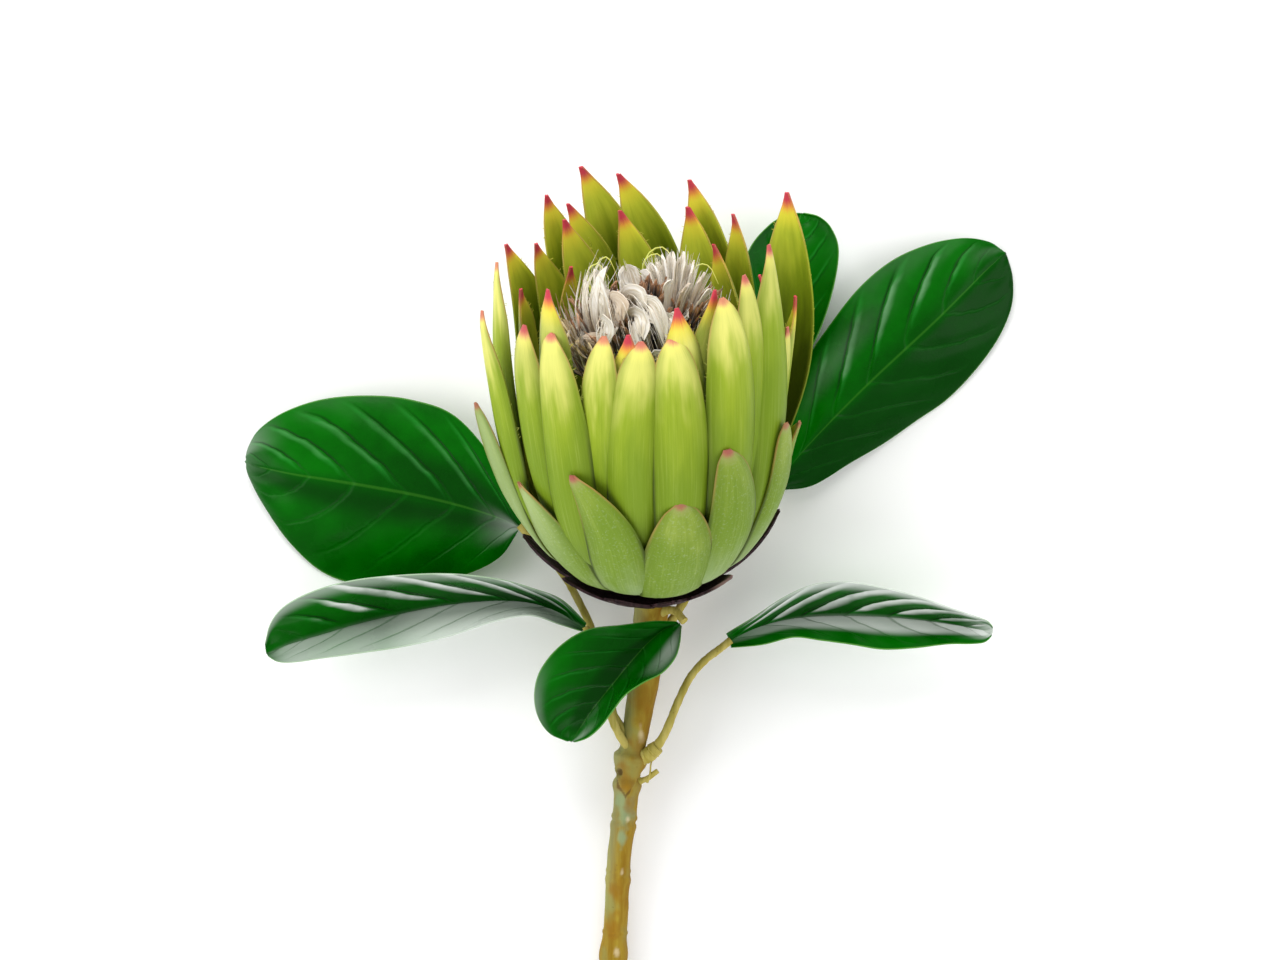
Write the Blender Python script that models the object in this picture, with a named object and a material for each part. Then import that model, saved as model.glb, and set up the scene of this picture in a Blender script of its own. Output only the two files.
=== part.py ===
"""Protea flower, cut and laid on its back on a flat surface.

The stem runs along -Y, the head opens towards +Y and tilts up, and the leaves spread to -X and +X.
Sizes are in millimetres and degrees, and the meshes are written in metres.
"""

import math
import random

import bmesh
import bpy
from mathutils import Vector

MM = 0.001
SMOOTH_ANGLE = math.radians(40)

# Places are measured from a mark on the surface under the head. The part's origin, the middle of
# its footprint, lies here from that mark.
ORIGIN_FROM_MARK = (-3.0, -48.55)
NODE_GAP = 0.35

# The head's frame: its base point, how far its axis rises from the surface and how far it leans
# sideways. Angles round the head start at its upper front and grow towards +X.
HEAD_BASE = Vector((3.1, -28.7, 18.2))
HEAD_RISE = 29.0
HEAD_LEAN = -1.5
CUTTER_SIZE = 90.0

# The cup that the bracts form: its radius grows from the neck to the rim over the swell length.
CUP_NECK_RADIUS = 9.0
CUP_RIM_RADIUS = 43.0
CUP_SWELL = 21.0

BRACT_THICKNESS = 0.9
LONG_BRACT_BOAT_RADIUS = 13.0
LOW_BRACT_BOAT_RADIUS = 22.0
BRACT_COLUMNS = 4
BRACT_ROOT_SINK = 2.9
LONG_BRACT_ROOT_HEIGHT = 5.0
INNER_BRACT_ROOT_HEIGHT = 16.0
LOW_BRACT_ROOT_HEIGHT = 2.4
# A bract's rows: how far along it each lies, and its half width as a share of the bract's. The low
# bracts are widest nearer their roots.
LONG_BRACT_OUTLINE = (
    (0.0, 0.36),
    (0.2, 0.66),
    (0.44, 0.94),
    (0.67, 1.0),
    (0.84, 0.86),
    (0.945, 0.5),
    (1.0, 0.1),
)
LOW_BRACT_OUTLINE = (
    (0.0, 0.5),
    (0.2, 0.84),
    (0.42, 1.0),
    (0.64, 0.94),
    (0.82, 0.68),
    (0.94, 0.36),
    (1.0, 0.1),
)
# The tips of the bracts behind the tuft, where the cosine of their angle is this low, hook towards
# -X from this far along.
BACK_COSINE = -0.35
BRACT_HOOK = 4.2
BRACT_HOOK_START = 0.68
# How far along a bract it is fully out of the base, where its tip starts to bend and where its twist
# starts and ends.
BRACT_ROOT_SHARE = 0.22
BRACT_BEND_START = 0.5
BRACT_TWIST_START = 0.2
BRACT_TWIST_LENGTH = 0.4

# Each bract: angle of its body, angle of its tip, height and radius of its tip, half width, how far
# it stands outside the cup (inside where negative) and its twist about its own length.
OUTER_BRACTS = (
    (-71, -81, 89, 44, 6.4, 0.6, -14),
    (-85, -99, 97, 38.5, 5.6, -1.8, -30),
    (-53, -56, 93, 40, 6.5, -2.8, -8),
    (-33, -41, 94, 39, 8.6, 0.2, 0),
    (-19, -18, 95, 36, 6.0, -3.0, 0),
    (-6, 1, 94, 36, 7.8, -0.9, 0),
    (14, 13, 95, 36, 8.6, 0.6, 0),
    (36, 39, 103, 37, 8.6, 0.2, 4),
    (48, 53, 106, 36, 6.0, -2.8, 8),
    (58, 72, 109, 35, 7.6, -0.4, 14),
    (76, 74, 85, 41, 6.0, -3.4, 14),
    (112, 112, 110, 46.5, 8.4, 2.0, -42),
)
BACK_BRACTS = (
    (96, 96, 86, 42, 6.5, -2.4, 0),
    (-126, -122, 97, 40, 7.5, -1.6, 8),
    (-138, -132, 96, 36, 7.0, -4.4, 0),
    (-150, -147, 105, 43, 7.0, 0.0, 0),
    (-154, -152, 98, 38, 7.5, -5.4, 0),
    (-164, -156, 101, 41, 7.0, -2.8, 0),
    (-172, -163, 110, 43, 8.4, 0.4, 0),
    (171, 183, 107, 42, 9.0, -0.4, 0),
    (178, 183, 98, 36, 7.4, -5.8, 0),
    (147, 156, 105, 42, 8.6, 0.2, 0),
    (150, 154, 99, 38, 8.4, -4.8, 0),
    (134, 134, 99, 40, 7.0, -2.4, 0),
)
INNER_BRACTS = (
    (130, 138, 91, 33, 7.0, -7.4, 0),
    (28, 40, 102, 30, 6.0, -9.0, 0),
    (19, 18, 100, 32, 7.5, -6.4, 0),
    (-7, -6, 94, 32, 7.0, -6.2, 0),
    (-43, -46, 103, 34, 7.0, -6.2, 0),
    (62, 62, 96, 31, 6.5, -7.4, 0),
    (88, 92, 94, 33, 6.5, -6.8, 0),
    (-108, -112, 88, 34, 6.5, -6.0, 0),
    (-134, -144, 89, 28, 5.0, -10.0, 0),
)
LOW_BRACTS = (
    (-74, -79, 63, 47, 4.2, 2.8, -32),
    (-50, -64, 43, 39, 7.0, 2.2, -6),
    (-15, -27, 55, 41.5, 7.8, 3.0, 0),
    (13, 14, 47, 41, 10.8, 4.0, 0),
    (37, 31, 61, 43, 9.0, 2.6, 0),
    (66, 60, 61, 43, 7.0, 2.2, 6),
)
# The low bracts on the head's underside follow a rule: evenly spaced, in two layers by turns.
LOW_BACK_COUNT = 9
LOW_BACK_START = 87.5
LOW_BACK_STEP = 22.5
LOW_BACK_HALF_WIDTH = 8.2
LOW_BACK_TIP_HEIGHTS = (50.0, 42.0)
LOW_BACK_LAYERS = (1.3, 2.7)

# The base that the bracts grow from: a dish, with the florets standing in its hollow.
RECEPTACLE_TOP = 25.0
RECEPTACLE_HEIGHTS = (0.8, 2, 4, 8, 13, 19, RECEPTACLE_TOP)
RECEPTACLE_INSET = 2.0
RECEPTACLE_WALL = 3.0
HOLLOW_FLOOR_HEIGHT = 13.0
HOLLOW_FLOOR_RADIUS = 12.0
TURNED_SIDES = 20

# Florets: a core, then rings of blades. Each ring: how many, height and radius of the root, height
# and radius of the tip, half width.
FLORET_CORE = ((13.0 + NODE_GAP, 10.0), (30.0, 13.0), (62.0, 16.0), (72.0, 12.5), (77.0, 6.0))
FLORET_RINGS = (
    (18, 54, 14.5, 87, 24.0, 0.8),
    (11, 62, 13.0, 92, 19.0, 3.2),
    (8, 68, 8.5, 96, 12.5, 3.4),
    (4, 72, 3.0, 98, 5.0, 3.2),
)
FLORET_THICKNESS = 0.8
THREAD_HALF_WIDTH = 1.2
FLORET_ROWS = 5
# Where along a floret its tip starts to curl, how far it turns on its way up, and how high its middle
# stands over its edges as a share of its half width.
FLORET_CURL_START = 0.6
FLORET_TURN = 40.0
FLORET_CROWN = 0.25
FLORET_SEED = 7

# Calyx: a small disc under the head with dark pointed sepals that follow the cup, clear of the low
# bracts. Each sepal: angle, height of its tip, how far the tip flares out, half width.
CALYX_LOW_HEIGHT = -2.0
CALYX_TOP_HEIGHT = 0.1
CALYX_DISC_RADIUS = 8.0
CALYX_FOOT_RADIUS = 6.8
SEPAL_THICKNESS = 0.9
SEPAL_COLUMNS = 4
SEPAL_ROOT_HEIGHT = -0.9
SEPAL_ROOT_RADIUS = 5.0
SEPAL_SPREAD_SHARE = 0.4
SEPAL_OUTLINE = ((0.0, 0.35), (0.3, 0.85), (0.6, 1.0), (0.85, 0.6), (1.0, 0.1))
SEPAL_CLEARANCE = 4.6
SEPALS = (
    (-93, 14, 3.5, 5.5),
    (-58, 8, 0.0, 6.0),
    (-22, 6, 0.0, 6.5),
    (16, 6, 0.0, 6.5),
    (56, 10, 0.5, 7.0),
    (96, 20, 2.0, 6.0),
    (134, 10, 0.0, 6.5),
    (176, 5, 0.0, 6.0),
    (-136, 10, 0.0, 6.5),
)

# The stem's middle line, from where it leaves the head's axis to the cut end. It starts straight along
# that axis, and its taper starts this far along -Y from the mark.
STEM_PATH = (
    (2.6, -43.0, 12.2),
    (2.0, -51.0, 11.4),
    (0.3, -62.0, 10.9),
    (-1.4, -72.0, 10.2),
    (-3.4, -84.0, 9.5),
    (-4.4, -95.0, 8.8),
    (-5.7, -105.0, 8.2),
    (-6.3, -114.0, 7.6),
    (-6.8, -124.0, 7.0),
    (-7.4, -132.0, 6.5),
    (-8.3, -148.0, 5.6),
    (-9.4, -165.0, 4.6),
    (-10.3, -183.6, 3.39),
)
STEM_STRAIGHT_LENGTH = 5.0
STEM_TOP_RADIUS = 4.9
STEM_LOW_RADIUS = 3.4
STEM_TAPER_START = 33.0
STEM_TAPER_LENGTH = 55.0
STEM_SIDES = 12
STEM_ROWS = 36
# Nodes on the stem: distance along -Y from the mark, extra radius and half length.
STEM_NODES = (
    (79.0, 0.55, 2.2),
    (86.5, 0.8, 2.0),
    (98.0, 0.45, 1.6),
    (113.5, 0.35, 1.4),
    (135.0, 0.8, 3.0),
    (164.0, 0.6, 2.4),
)

# Thin side shoots: the points of each, and its radius at both ends.
SHOOTS = {
    "stalk_left_upper": (
        (
            (-2.0, -75.0, 11.0), (-7.4, -67.0, 11.0), (-9.6, -59.5, 10.5), (-11.9, -49.6, 9.5),
            (-14.2, -41.2, 9.0), (-17.9, -33.5, 9.0), (-20.7, -28.4, 9.5), (-24.9, -22.7, 10.5),
            (-29.2, -18.2, 11.3), (-33.2, -13.8, 11.9),
        ),
        1.5,
        1.15,
    ),
    "stalk_left_lower": (
        (
            (-2.6, -77.0, 11.5), (-6.6, -70.5, 14.0), (-9.6, -62.0, 15.0), (-11.8, -52.2, 15.5),
            (-13.6, -45.7, 15.4), (-14.8, -42.7, 15.2),
        ),
        1.5,
        1.1,
    ),
    "stalk_front": (
        (
            (4.0, -37.5, 14.5), (7.4, -36.6, 18.0), (10.0, -36.8, 20.6), (11.6, -38.6, 22.0),
        ),
        2.0,
        1.2,
    ),
    "stalk_right_lower": (
        (
            (-1.5, -79.5, 10.4), (2.6, -77.6, 12.0), (6.8, -72.1, 13.5), (10.7, -62.7, 14.0),
            (14.1, -55.9, 13.5), (18.1, -51.2, 13.0), (22.1, -48.1, 12.6), (24.6, -46.2, 12.3),
        ),
        1.8,
        1.15,
    ),
    "stalk_right": (
        (
            (3.0, -46.0, 12.0), (8.6, -40.2, 11.6), (14.2, -31.8, 9.5), (20.5, -23.6, 6.6),
            (27.7, -16.2, 4.4), (33.4, -9.6, 4.1), (37.8, -3.0, 5.0),
        ),
        1.4,
        1.15,
    ),
    "stalk_right_upper": (
        (
            (20.5, -23.6, 6.6), (24.0, -16.5, 4.4), (26.6, -8.6, 3.4), (28.3, -1.2, 4.0),
        ),
        1.3,
        1.1,
    ),
    "socket_right_lower": (
        (
            (-1.0, -79.2, 10.6), (2.2, -77.8, 11.9), (4.0, -76.3, 12.5),
        ),
        2.6,
        2.3,
    ),
    "stub": (
        (
            (-3.0, -86.0, 9.6), (1.6, -84.6, 10.4), (4.4, -84.0, 10.8),
        ),
        1.9,
        1.3,
    ),
}
SHOOT_SIDES = 6

# Leaves: middle line, left edge and right edge, from the base to the tip, seen from above with the
# base towards the viewer.
LEAVES = {
    "leaf_left_upper": {
        "midrib": (
            (-34, -13.3, 12), (-40, -10.6, 11), (-50, -7.5, 10), (-62, -4.5, 10), (-75, -2, 10),
            (-87, 0, 9), (-98, 1.7, 8), (-107, 3.6, 6), (-112.5, 5.2, 3.5),
        ),
        "left": (
            (-34.6, -14.6, 11.6), (-40, -22, 8.5), (-50, -27, 4.5), (-63, -29.8, 1.3),
            (-77, -30.4, 0.42), (-90, -26.8, 0.42), (-100, -18, 1.2), (-107, -7.5, 2.0),
            (-112.4, 4.2, 3.2),
        ),
        "right": (
            (-33.5, -11.8, 12.4), (-40, 3.5, 12), (-52, 17.8, 10), (-65, 22.8, 8), (-78, 24, 7),
            (-90.5, 22.6, 6.5), (-101, 17.8, 6), (-108.3, 12, 5), (-112.2, 6.4, 3.6),
        ),
        "cup": 1.6,
    },
    "leaf_left_lower": {
        "midrib": (
            (-15.6, -41.6, 15), (-22.6, -37.6, 12), (-31.3, -35, 8), (-42, -34.5, 5.5),
            (-55, -35.7, 4.5), (-68, -38.2, 4.5), (-81, -41.3, 5.5), (-90.5, -44.1, 6.8),
            (-98.6, -46.4, 8.5), (-103, -48, 9.4), (-106, -49, 10),
        ),
        "left": (
            (-16.3, -42.7, 15.6), (-22.7, -40.6, 17), (-31, -38, 20), (-41.5, -39.8, 21),
            (-53, -43.6, 21), (-66, -46.6, 21), (-79, -48.6, 20), (-89.5, -50.1, 17.5),
            (-97.7, -51.4, 14.5), (-102.4, -51.4, 12), (-105.4, -50, 10.4),
        ),
        "right": (
            (-15.1, -40.4, 15.6), (-21.9, -33.8, 18), (-29.6, -30.6, 21), (-39.5, -27.8, 23),
            (-52.6, -26.3, 23), (-66, -26.6, 23), (-79.5, -28, 22), (-90.5, -30.8, 19.5),
            (-99.2, -35.6, 16.5), (-103.6, -41, 13.6), (-106.4, -47.6, 10.6),
        ),
        "cup": -1.2,
    },
    "leaf_front": {
        "midrib": (
            (11.0, -40.2, 22.6), (6.4, -42.4, 24), (2, -46.1, 25), (-2, -50.5, 26),
            (-5.6, -54.9, 27), (-9.2, -59.4, 27), (-12.6, -63.6, 26), (-15.6, -67.9, 24.5),
            (-19, -72.8, 22),
        ),
        "left": (
            (11.6, -41.0, 23), (11.1, -45, 30), (9.7, -49.1, 35), (6.1, -53.1, 38),
            (0.8, -55.8, 39), (-4.1, -59.2, 39), (-7.7, -64, 36), (-11.1, -68.6, 31.5),
            (-17.8, -73.3, 23),
        ),
        "right": (
            (10.2, -39.6, 23), (3.6, -39.4, 25), (-5, -40.4, 27), (-14.5, -41.6, 28),
            (-22, -45.9, 28.5), (-27.6, -52.6, 28), (-29.5, -59.4, 27), (-28.5, -65.9, 25),
            (-20.2, -72.9, 22.4),
        ),
        "cup": -1.2,
    },
    "leaf_right_upper": {
        "midrib": (
            (28.7, 0.2, 4.2), (31.3, 12.8, 6), (34.9, 27, 8), (38, 41.2, 9), (40.9, 53.9, 9),
            (42.9, 64.7, 9), (44.6, 71.6, 8), (45.8, 75.6, 7),
        ),
        "left": (
            (27.9, 0.6, 4.6), (25.6, 12.6, 7.5), (24.6, 27, 10), (25.2, 41.5, 12),
            (27.4, 53.7, 12.5), (31, 65.4, 12), (37.3, 72.2, 10), (44.4, 75.9, 7.6),
        ),
        "right": (
            (29.5, 0.2, 4.6), (37.4, 13.2, 7.5), (44, 28.8, 10), (50.9, 42.4, 12),
            (54.8, 54.8, 12.5), (56, 65.1, 12), (53, 73, 10), (47.4, 75.8, 7.6),
        ),
        "cup": -1.2,
    },
    "leaf_right": {
        "midrib": (
            (38.6, -2.0, 5.4), (44.1, 5.7, 6.5), (51.1, 13.6, 8), (59, 21.8, 9.5),
            (67.2, 29.8, 10), (75.4, 37.4, 10), (84, 45.4, 9), (91.6, 52.9, 7), (98, 59.3, 5),
            (103.2, 64.3, 3.2),
        ),
        "left": (
            (38.0, -1.2, 5.2), (41, 11, 5.8), (43.3, 23.3, 6.5), (47.2, 33.8, 7), (54.6, 44.9, 7),
            (62.6, 54.9, 7), (72, 62.6, 6.5), (82.6, 67.2, 5.5), (92.1, 68.7, 4.5),
            (101.6, 66.3, 3.2),
        ),
        "right": (
            (39.2, -2.8, 5.2), (49, -1.6, 4), (60, 4.9, 2.5), (69.8, 10.6, 0.9),
            (79.3, 17.2, 0.36), (87.9, 23.2, 0.36), (95.9, 31.5, 1), (102.4, 40.6, 1.4),
            (106.6, 50.6, 1.9), (105.6, 62, 2.6),
        ),
        "cup": 1.6,
    },
    "leaf_right_lower": {
        "midrib": (
            (25.4, -45.5, 12.4), (31.8, -42.3, 9.5), (40.4, -40.1, 6.5), (50, -39, 5.2),
            (60.4, -38.8, 5.2), (69.8, -39, 6), (79.1, -39.8, 7), (88.1, -40.9, 8.5),
            (94.5, -42, 10), (98.2, -42.6, 11), (99.8, -42.8, 11.4),
        ),
        "left": (
            (24.6, -44.2, 13), (31.8, -38.8, 17), (40.7, -32.8, 20), (49.3, -29.2, 21),
            (58.3, -28.6, 21), (68.4, -30.3, 21), (77.5, -32.6, 20), (87.2, -36, 18),
            (94, -38.3, 15.5), (98, -39.8, 13.2), (99.9, -41.6, 11.9),
        ),
        "right": (
            (26.2, -46.6, 13), (34.6, -46.2, 15.5), (43.2, -44.2, 18), (50.8, -45, 19),
            (59, -46.1, 19), (68, -47.5, 19), (77.1, -47.2, 18), (86.8, -46.2, 16),
            (93.6, -46.2, 14.5), (97.4, -45.8, 13), (99.5, -44.2, 11.9),
        ),
        "cup": -1.2,
    },
}
LEAF_ROWS = 15
LEAF_HALF_COLUMNS = 3
LEAF_EDGE_THICKNESS = 0.7
LEAF_RIB_THICKNESS = 1.3
LEAF_RIB_SHARE = 0.6
LEAF_QUILT_HEIGHT = 0.35
LEAF_VEIN_PAIRS = 6
LEAF_VEIN_SLANT = 0.9


def ease(value):
    """0 below 0, 1 above 1 and a smooth step between them."""
    value = min(max(value, 0.0), 1.0)
    return value * value * (3.0 - 2.0 * value)


def smooth_path(points, count):
    """Points at even steps of a smooth curve through the given points."""
    knots = [Vector(point) for point in points]
    knots = [2 * knots[0] - knots[1], *knots, 2 * knots[-1] - knots[-2]]
    spans = len(knots) - 3
    path = []
    for step in range(count):
        along = spans * step / (count - 1)
        span = min(int(along), spans - 1)
        t = along - span
        before, start, end, after = knots[span : span + 4]
        curve = 2 * start + (end - before) * t
        curve += (2 * before - 5 * start + 4 * end - after) * t**2
        curve += (3 * start - before - 3 * end + after) * t**3
        path.append(curve / 2)
    return path


def head_axes():
    """The head's axis, its sideways direction and its front direction."""
    rise = math.radians(HEAD_RISE)
    lean = math.radians(HEAD_LEAN)
    upright = Vector((0, math.cos(rise), math.sin(rise)))
    side = Vector((1, 0, 0))
    front = Vector((0, -math.sin(rise), math.cos(rise)))
    axis = upright * math.cos(lean) + side * math.sin(lean)
    across = side * math.cos(lean) - upright * math.sin(lean)
    return axis, across, front


HEAD_AXIS, HEAD_ACROSS, HEAD_FRONT = head_axes()


def outward(angle):
    """The direction away from the head's axis at an angle round it."""
    turn = math.radians(angle)
    return HEAD_ACROSS * math.sin(turn) + HEAD_FRONT * math.cos(turn)


def sideways(angle):
    """The direction round the head's axis at an angle round it."""
    turn = math.radians(angle)
    return HEAD_ACROSS * math.cos(turn) - HEAD_FRONT * math.sin(turn)


def head_point(angle, height, radius):
    return HEAD_BASE + HEAD_AXIS * height + outward(angle) * radius


def cup_radius(height):
    return CUP_NECK_RADIUS + (CUP_RIM_RADIUS - CUP_NECK_RADIUS) * (1 - math.exp(-max(height, 0) / CUP_SWELL))


def blade(grid, thickness):
    """A closed thin solid about a grid of points. thickness(row, column) is its thickness there."""
    rows, columns = len(grid), len(grid[0])
    bm = bmesh.new()
    faces = {}
    for row in range(rows):
        for column in range(columns):
            along = grid[min(row + 1, rows - 1)][column] - grid[max(row - 1, 0)][column]
            across = grid[row][min(column + 1, columns - 1)] - grid[row][max(column - 1, 0)]
            normal = along.cross(across).normalized()
            for side in (1, -1):
                place = grid[row][column] + normal * (side * thickness(row, column) / 2)
                faces[row, column, side] = bm.verts.new(place)

    def triangles(a, b, c, d):
        bm.faces.new((a, b, c))
        bm.faces.new((a, c, d))

    for row in range(rows - 1):
        for column in range(columns - 1):
            corners = ((row, column), (row, column + 1), (row + 1, column + 1), (row + 1, column))
            a, b, c, d = (faces[r, k, -1] for r, k in corners)
            triangles(a, b, c, d)
            a, b, c, d = (faces[r, k, 1] for r, k in corners)
            bm.faces.new((a, c, b))
            bm.faces.new((a, d, c))
    rim = [(0, column) for column in range(columns)]
    rim += [(row, columns - 1) for row in range(1, rows)]
    rim += [(rows - 1, column) for column in range(columns - 2, -1, -1)]
    rim += [(row, 0) for row in range(rows - 2, 0, -1)]
    for here, there in zip(rim, rim[1:] + rim[:1]):
        triangles(faces[(*there, -1)], faces[(*here, -1)], faces[(*here, 1)], faces[(*there, 1)])
    return bm


def tube(path, radii, sides):
    """A closed round tube along a path, with a radius at each of its points."""
    bm = bmesh.new()
    rings = []
    normal = Vector((0, 0, 1))
    for index, centre in enumerate(path):
        tangent = (path[min(index + 1, len(path) - 1)] - path[max(index - 1, 0)]).normalized()
        normal = (normal - tangent * normal.dot(tangent)).normalized()
        other = tangent.cross(normal)
        ring = []
        for side in range(sides):
            turn = 2 * math.pi * side / sides
            away = normal * math.cos(turn) + other * math.sin(turn)
            ring.append(bm.verts.new(centre + away * radii[index]))
        rings.append(ring)
    for ring, following in zip(rings, rings[1:]):
        for side in range(sides):
            after = (side + 1) % sides
            bm.faces.new((ring[side], ring[after], following[after], following[side]))
    bm.faces.new(rings[0][::-1])
    bm.faces.new(rings[-1])
    return bm


def turned(profile, sides):
    """A closed solid turned about the head's axis. The profile holds (height, radius) pairs, upwards."""
    bm = bmesh.new()
    rings = []
    for height, radius in profile:
        rings.append([bm.verts.new(head_point(360 * side / sides, height, radius)) for side in range(sides)])
    for ring, following in zip(rings, rings[1:]):
        for side in range(sides):
            after = (side + 1) % sides
            bm.faces.new((ring[side], following[side], following[after], ring[after]))
    bm.faces.new(rings[0])
    bm.faces.new(rings[-1][::-1])
    return bm


def material(name, colour, roughness):
    made = bpy.data.materials.new(name)
    made.use_nodes = True
    shader = made.node_tree.nodes["Principled BSDF"]
    shader.inputs["Base Color"].default_value = (*colour, 1)
    shader.inputs["Roughness"].default_value = roughness
    shader.inputs["Metallic"].default_value = 0.0
    return made


def shade(mesh):
    mesh.shade_smooth()
    mesh.set_sharp_from_angle(angle=SMOOTH_ANGLE)


def solid(name, bm, surface):
    """An object from a mesh in millimetres, written in metres about the part's origin."""
    for vert in bm.verts:
        vert.co.x -= ORIGIN_FROM_MARK[0]
        vert.co.y -= ORIGIN_FROM_MARK[1]
        vert.co *= MM
    bmesh.ops.triangulate(bm, faces=bm.faces)
    bmesh.ops.recalc_face_normals(bm, faces=bm.faces)
    mesh = bpy.data.meshes.new(name)
    bm.to_mesh(mesh)
    bm.free()
    mesh.materials.append(surface)
    shade(mesh)
    made = bpy.data.objects.new(name, mesh)
    bpy.context.scene.collection.objects.link(made)
    return made


def apply_boolean(body, operation, solver, collection):
    """Applies one Boolean with a collection to a body, and removes the collection's objects."""
    step = body.modifiers.new("join", "BOOLEAN")
    step.operation = operation
    step.solver = solver
    step.operand_type = "COLLECTION"
    step.collection = collection
    bpy.context.view_layer.update()
    evaluated = body.evaluated_get(bpy.context.evaluated_depsgraph_get())
    joined = bpy.data.meshes.new_from_object(evaluated)
    body.modifiers.clear()
    old = body.data
    body.data = joined
    joined.name = body.name
    bpy.data.meshes.remove(old)
    for part in list(collection.objects):
        bpy.data.objects.remove(part)
    bpy.data.collections.remove(collection)


def keep_main_shell(body):
    """Fills what the joining sealed and drops loose scraps: only the largest shell stays."""
    bm = bmesh.new()
    bm.from_mesh(body.data)
    unseen = set(bm.verts)
    shells = []
    while unseen:
        shell = set()
        edge = [unseen.pop()]
        while edge:
            vert = edge.pop()
            shell.add(vert)
            for link in vert.link_edges:
                other = link.other_vert(vert)
                if other in unseen:
                    unseen.remove(other)
                    edge.append(other)
        shells.append(shell)
    largest = max(shells, key=len)
    bmesh.ops.delete(bm, geom=[vert for vert in bm.verts if vert not in largest], context="VERTS")
    bm.to_mesh(body.data)
    bm.free()


def fuse(body, parts, operation="UNION", solver="EXACT"):
    """Joins parts to a body, or cuts them from it, and shades the result smooth."""
    collection = bpy.data.collections.new(body.name + "_parts")
    bpy.context.scene.collection.children.link(collection)
    for part in parts:
        collection.objects.link(part)
        bpy.context.scene.collection.objects.unlink(part)
    apply_boolean(body, operation, solver, collection)
    keep_main_shell(body)
    shade(body.data)


def bract_grid(bract, outline, root_height, boat_radius):
    """The middle surface of one bract, from its root to its tip, curved across like a boat."""
    body_angle, tip_angle, tip_height, tip_radius, half_width, layer, twist = bract
    hook = BRACT_HOOK if math.cos(math.radians(tip_angle)) < BACK_COSINE else 0
    grid = []
    for t, share in outline:
        height = root_height + (tip_height - root_height) * t
        bend = (max(t - BRACT_BEND_START, 0) / (1 - BRACT_BEND_START)) ** 2
        out_of_base = ease(t / BRACT_ROOT_SHARE)
        radius = cup_radius(height) + layer * out_of_base - BRACT_ROOT_SINK * (1 - out_of_base)
        radius += (tip_radius - cup_radius(tip_height) - layer) * bend
        angle = body_angle + (tip_angle - body_angle) * bend
        width = half_width * share
        turn = math.radians(twist) * ease((t - BRACT_TWIST_START) / BRACT_TWIST_LENGTH)
        across = sideways(angle) * math.cos(turn) + outward(angle) * math.sin(turn)
        out = outward(angle) * math.cos(turn) - sideways(angle) * math.sin(turn)
        middle = head_point(angle, height, radius)
        middle += across * hook * ease((t - BRACT_HOOK_START) / (1 - BRACT_HOOK_START))
        line = []
        for column in range(BRACT_COLUMNS):
            bow = (2 * column / (BRACT_COLUMNS - 1) - 1) * width / boat_radius
            place = middle + across * boat_radius * math.sin(bow)
            place -= out * boat_radius * (1 - math.cos(bow))
            line.append(place)
        grid.append(line)
    return grid


def low_back_bracts():
    """The low bracts on the head's underside, by their rule."""
    for index in range(LOW_BACK_COUNT):
        angle = LOW_BACK_START + LOW_BACK_STEP * index
        layer = LOW_BACK_LAYERS[index % 2]
        tip_height = LOW_BACK_TIP_HEIGHTS[index % 2]
        yield (angle, angle + 3, tip_height, cup_radius(tip_height) + layer, LOW_BACK_HALF_WIDTH, layer, 0)


def receptacle():
    """The dish that the bracts grow from."""
    profile = [(height, cup_radius(height) - RECEPTACLE_INSET) for height in RECEPTACLE_HEIGHTS]
    profile.append((RECEPTACLE_TOP, profile[-1][1] - RECEPTACLE_WALL))
    profile.append((HOLLOW_FLOOR_HEIGHT, HOLLOW_FLOOR_RADIUS))
    return turned(profile, TURNED_SIDES)


def flat_spot_cutter(surface):
    """A block with its top on the surface that the head rests on."""
    bm = bmesh.new()
    bmesh.ops.create_cube(bm, size=CUTTER_SIZE)
    for vert in bm.verts:
        vert.co += Vector((HEAD_BASE.x, HEAD_BASE.y + CUTTER_SIZE / 3, -CUTTER_SIZE / 2))
    return solid("flat_spot_cutter", bm, surface)


def bract_head(surface):
    """The receptacle with all its bracts fused to it, and a small flat spot underneath."""
    body = solid("bract_head", receptacle(), surface)
    long_bracts = (*OUTER_BRACTS, *BACK_BRACTS)
    low_bracts = (*LOW_BRACTS, *low_back_bracts())
    groups = (
        (long_bracts, LONG_BRACT_OUTLINE, LONG_BRACT_ROOT_HEIGHT, LONG_BRACT_BOAT_RADIUS),
        (INNER_BRACTS, LONG_BRACT_OUTLINE, INNER_BRACT_ROOT_HEIGHT, LONG_BRACT_BOAT_RADIUS),
        (low_bracts, LOW_BRACT_OUTLINE, LOW_BRACT_ROOT_HEIGHT, LOW_BRACT_BOAT_RADIUS),
    )
    parts = []
    for bracts, outline, root_height, boat_radius in groups:
        for bract in bracts:
            grid = bract_grid(bract, outline, root_height, boat_radius)
            parts.append(solid("bract", blade(grid, lambda row, column: BRACT_THICKNESS), surface))
    # The bracts cross each other so often that the EXACT solver leaves edges with more than two faces.
    fuse(body, parts, solver="MANIFOLD")
    fuse(body, [flat_spot_cutter(surface)], "DIFFERENCE")
    return body


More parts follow.
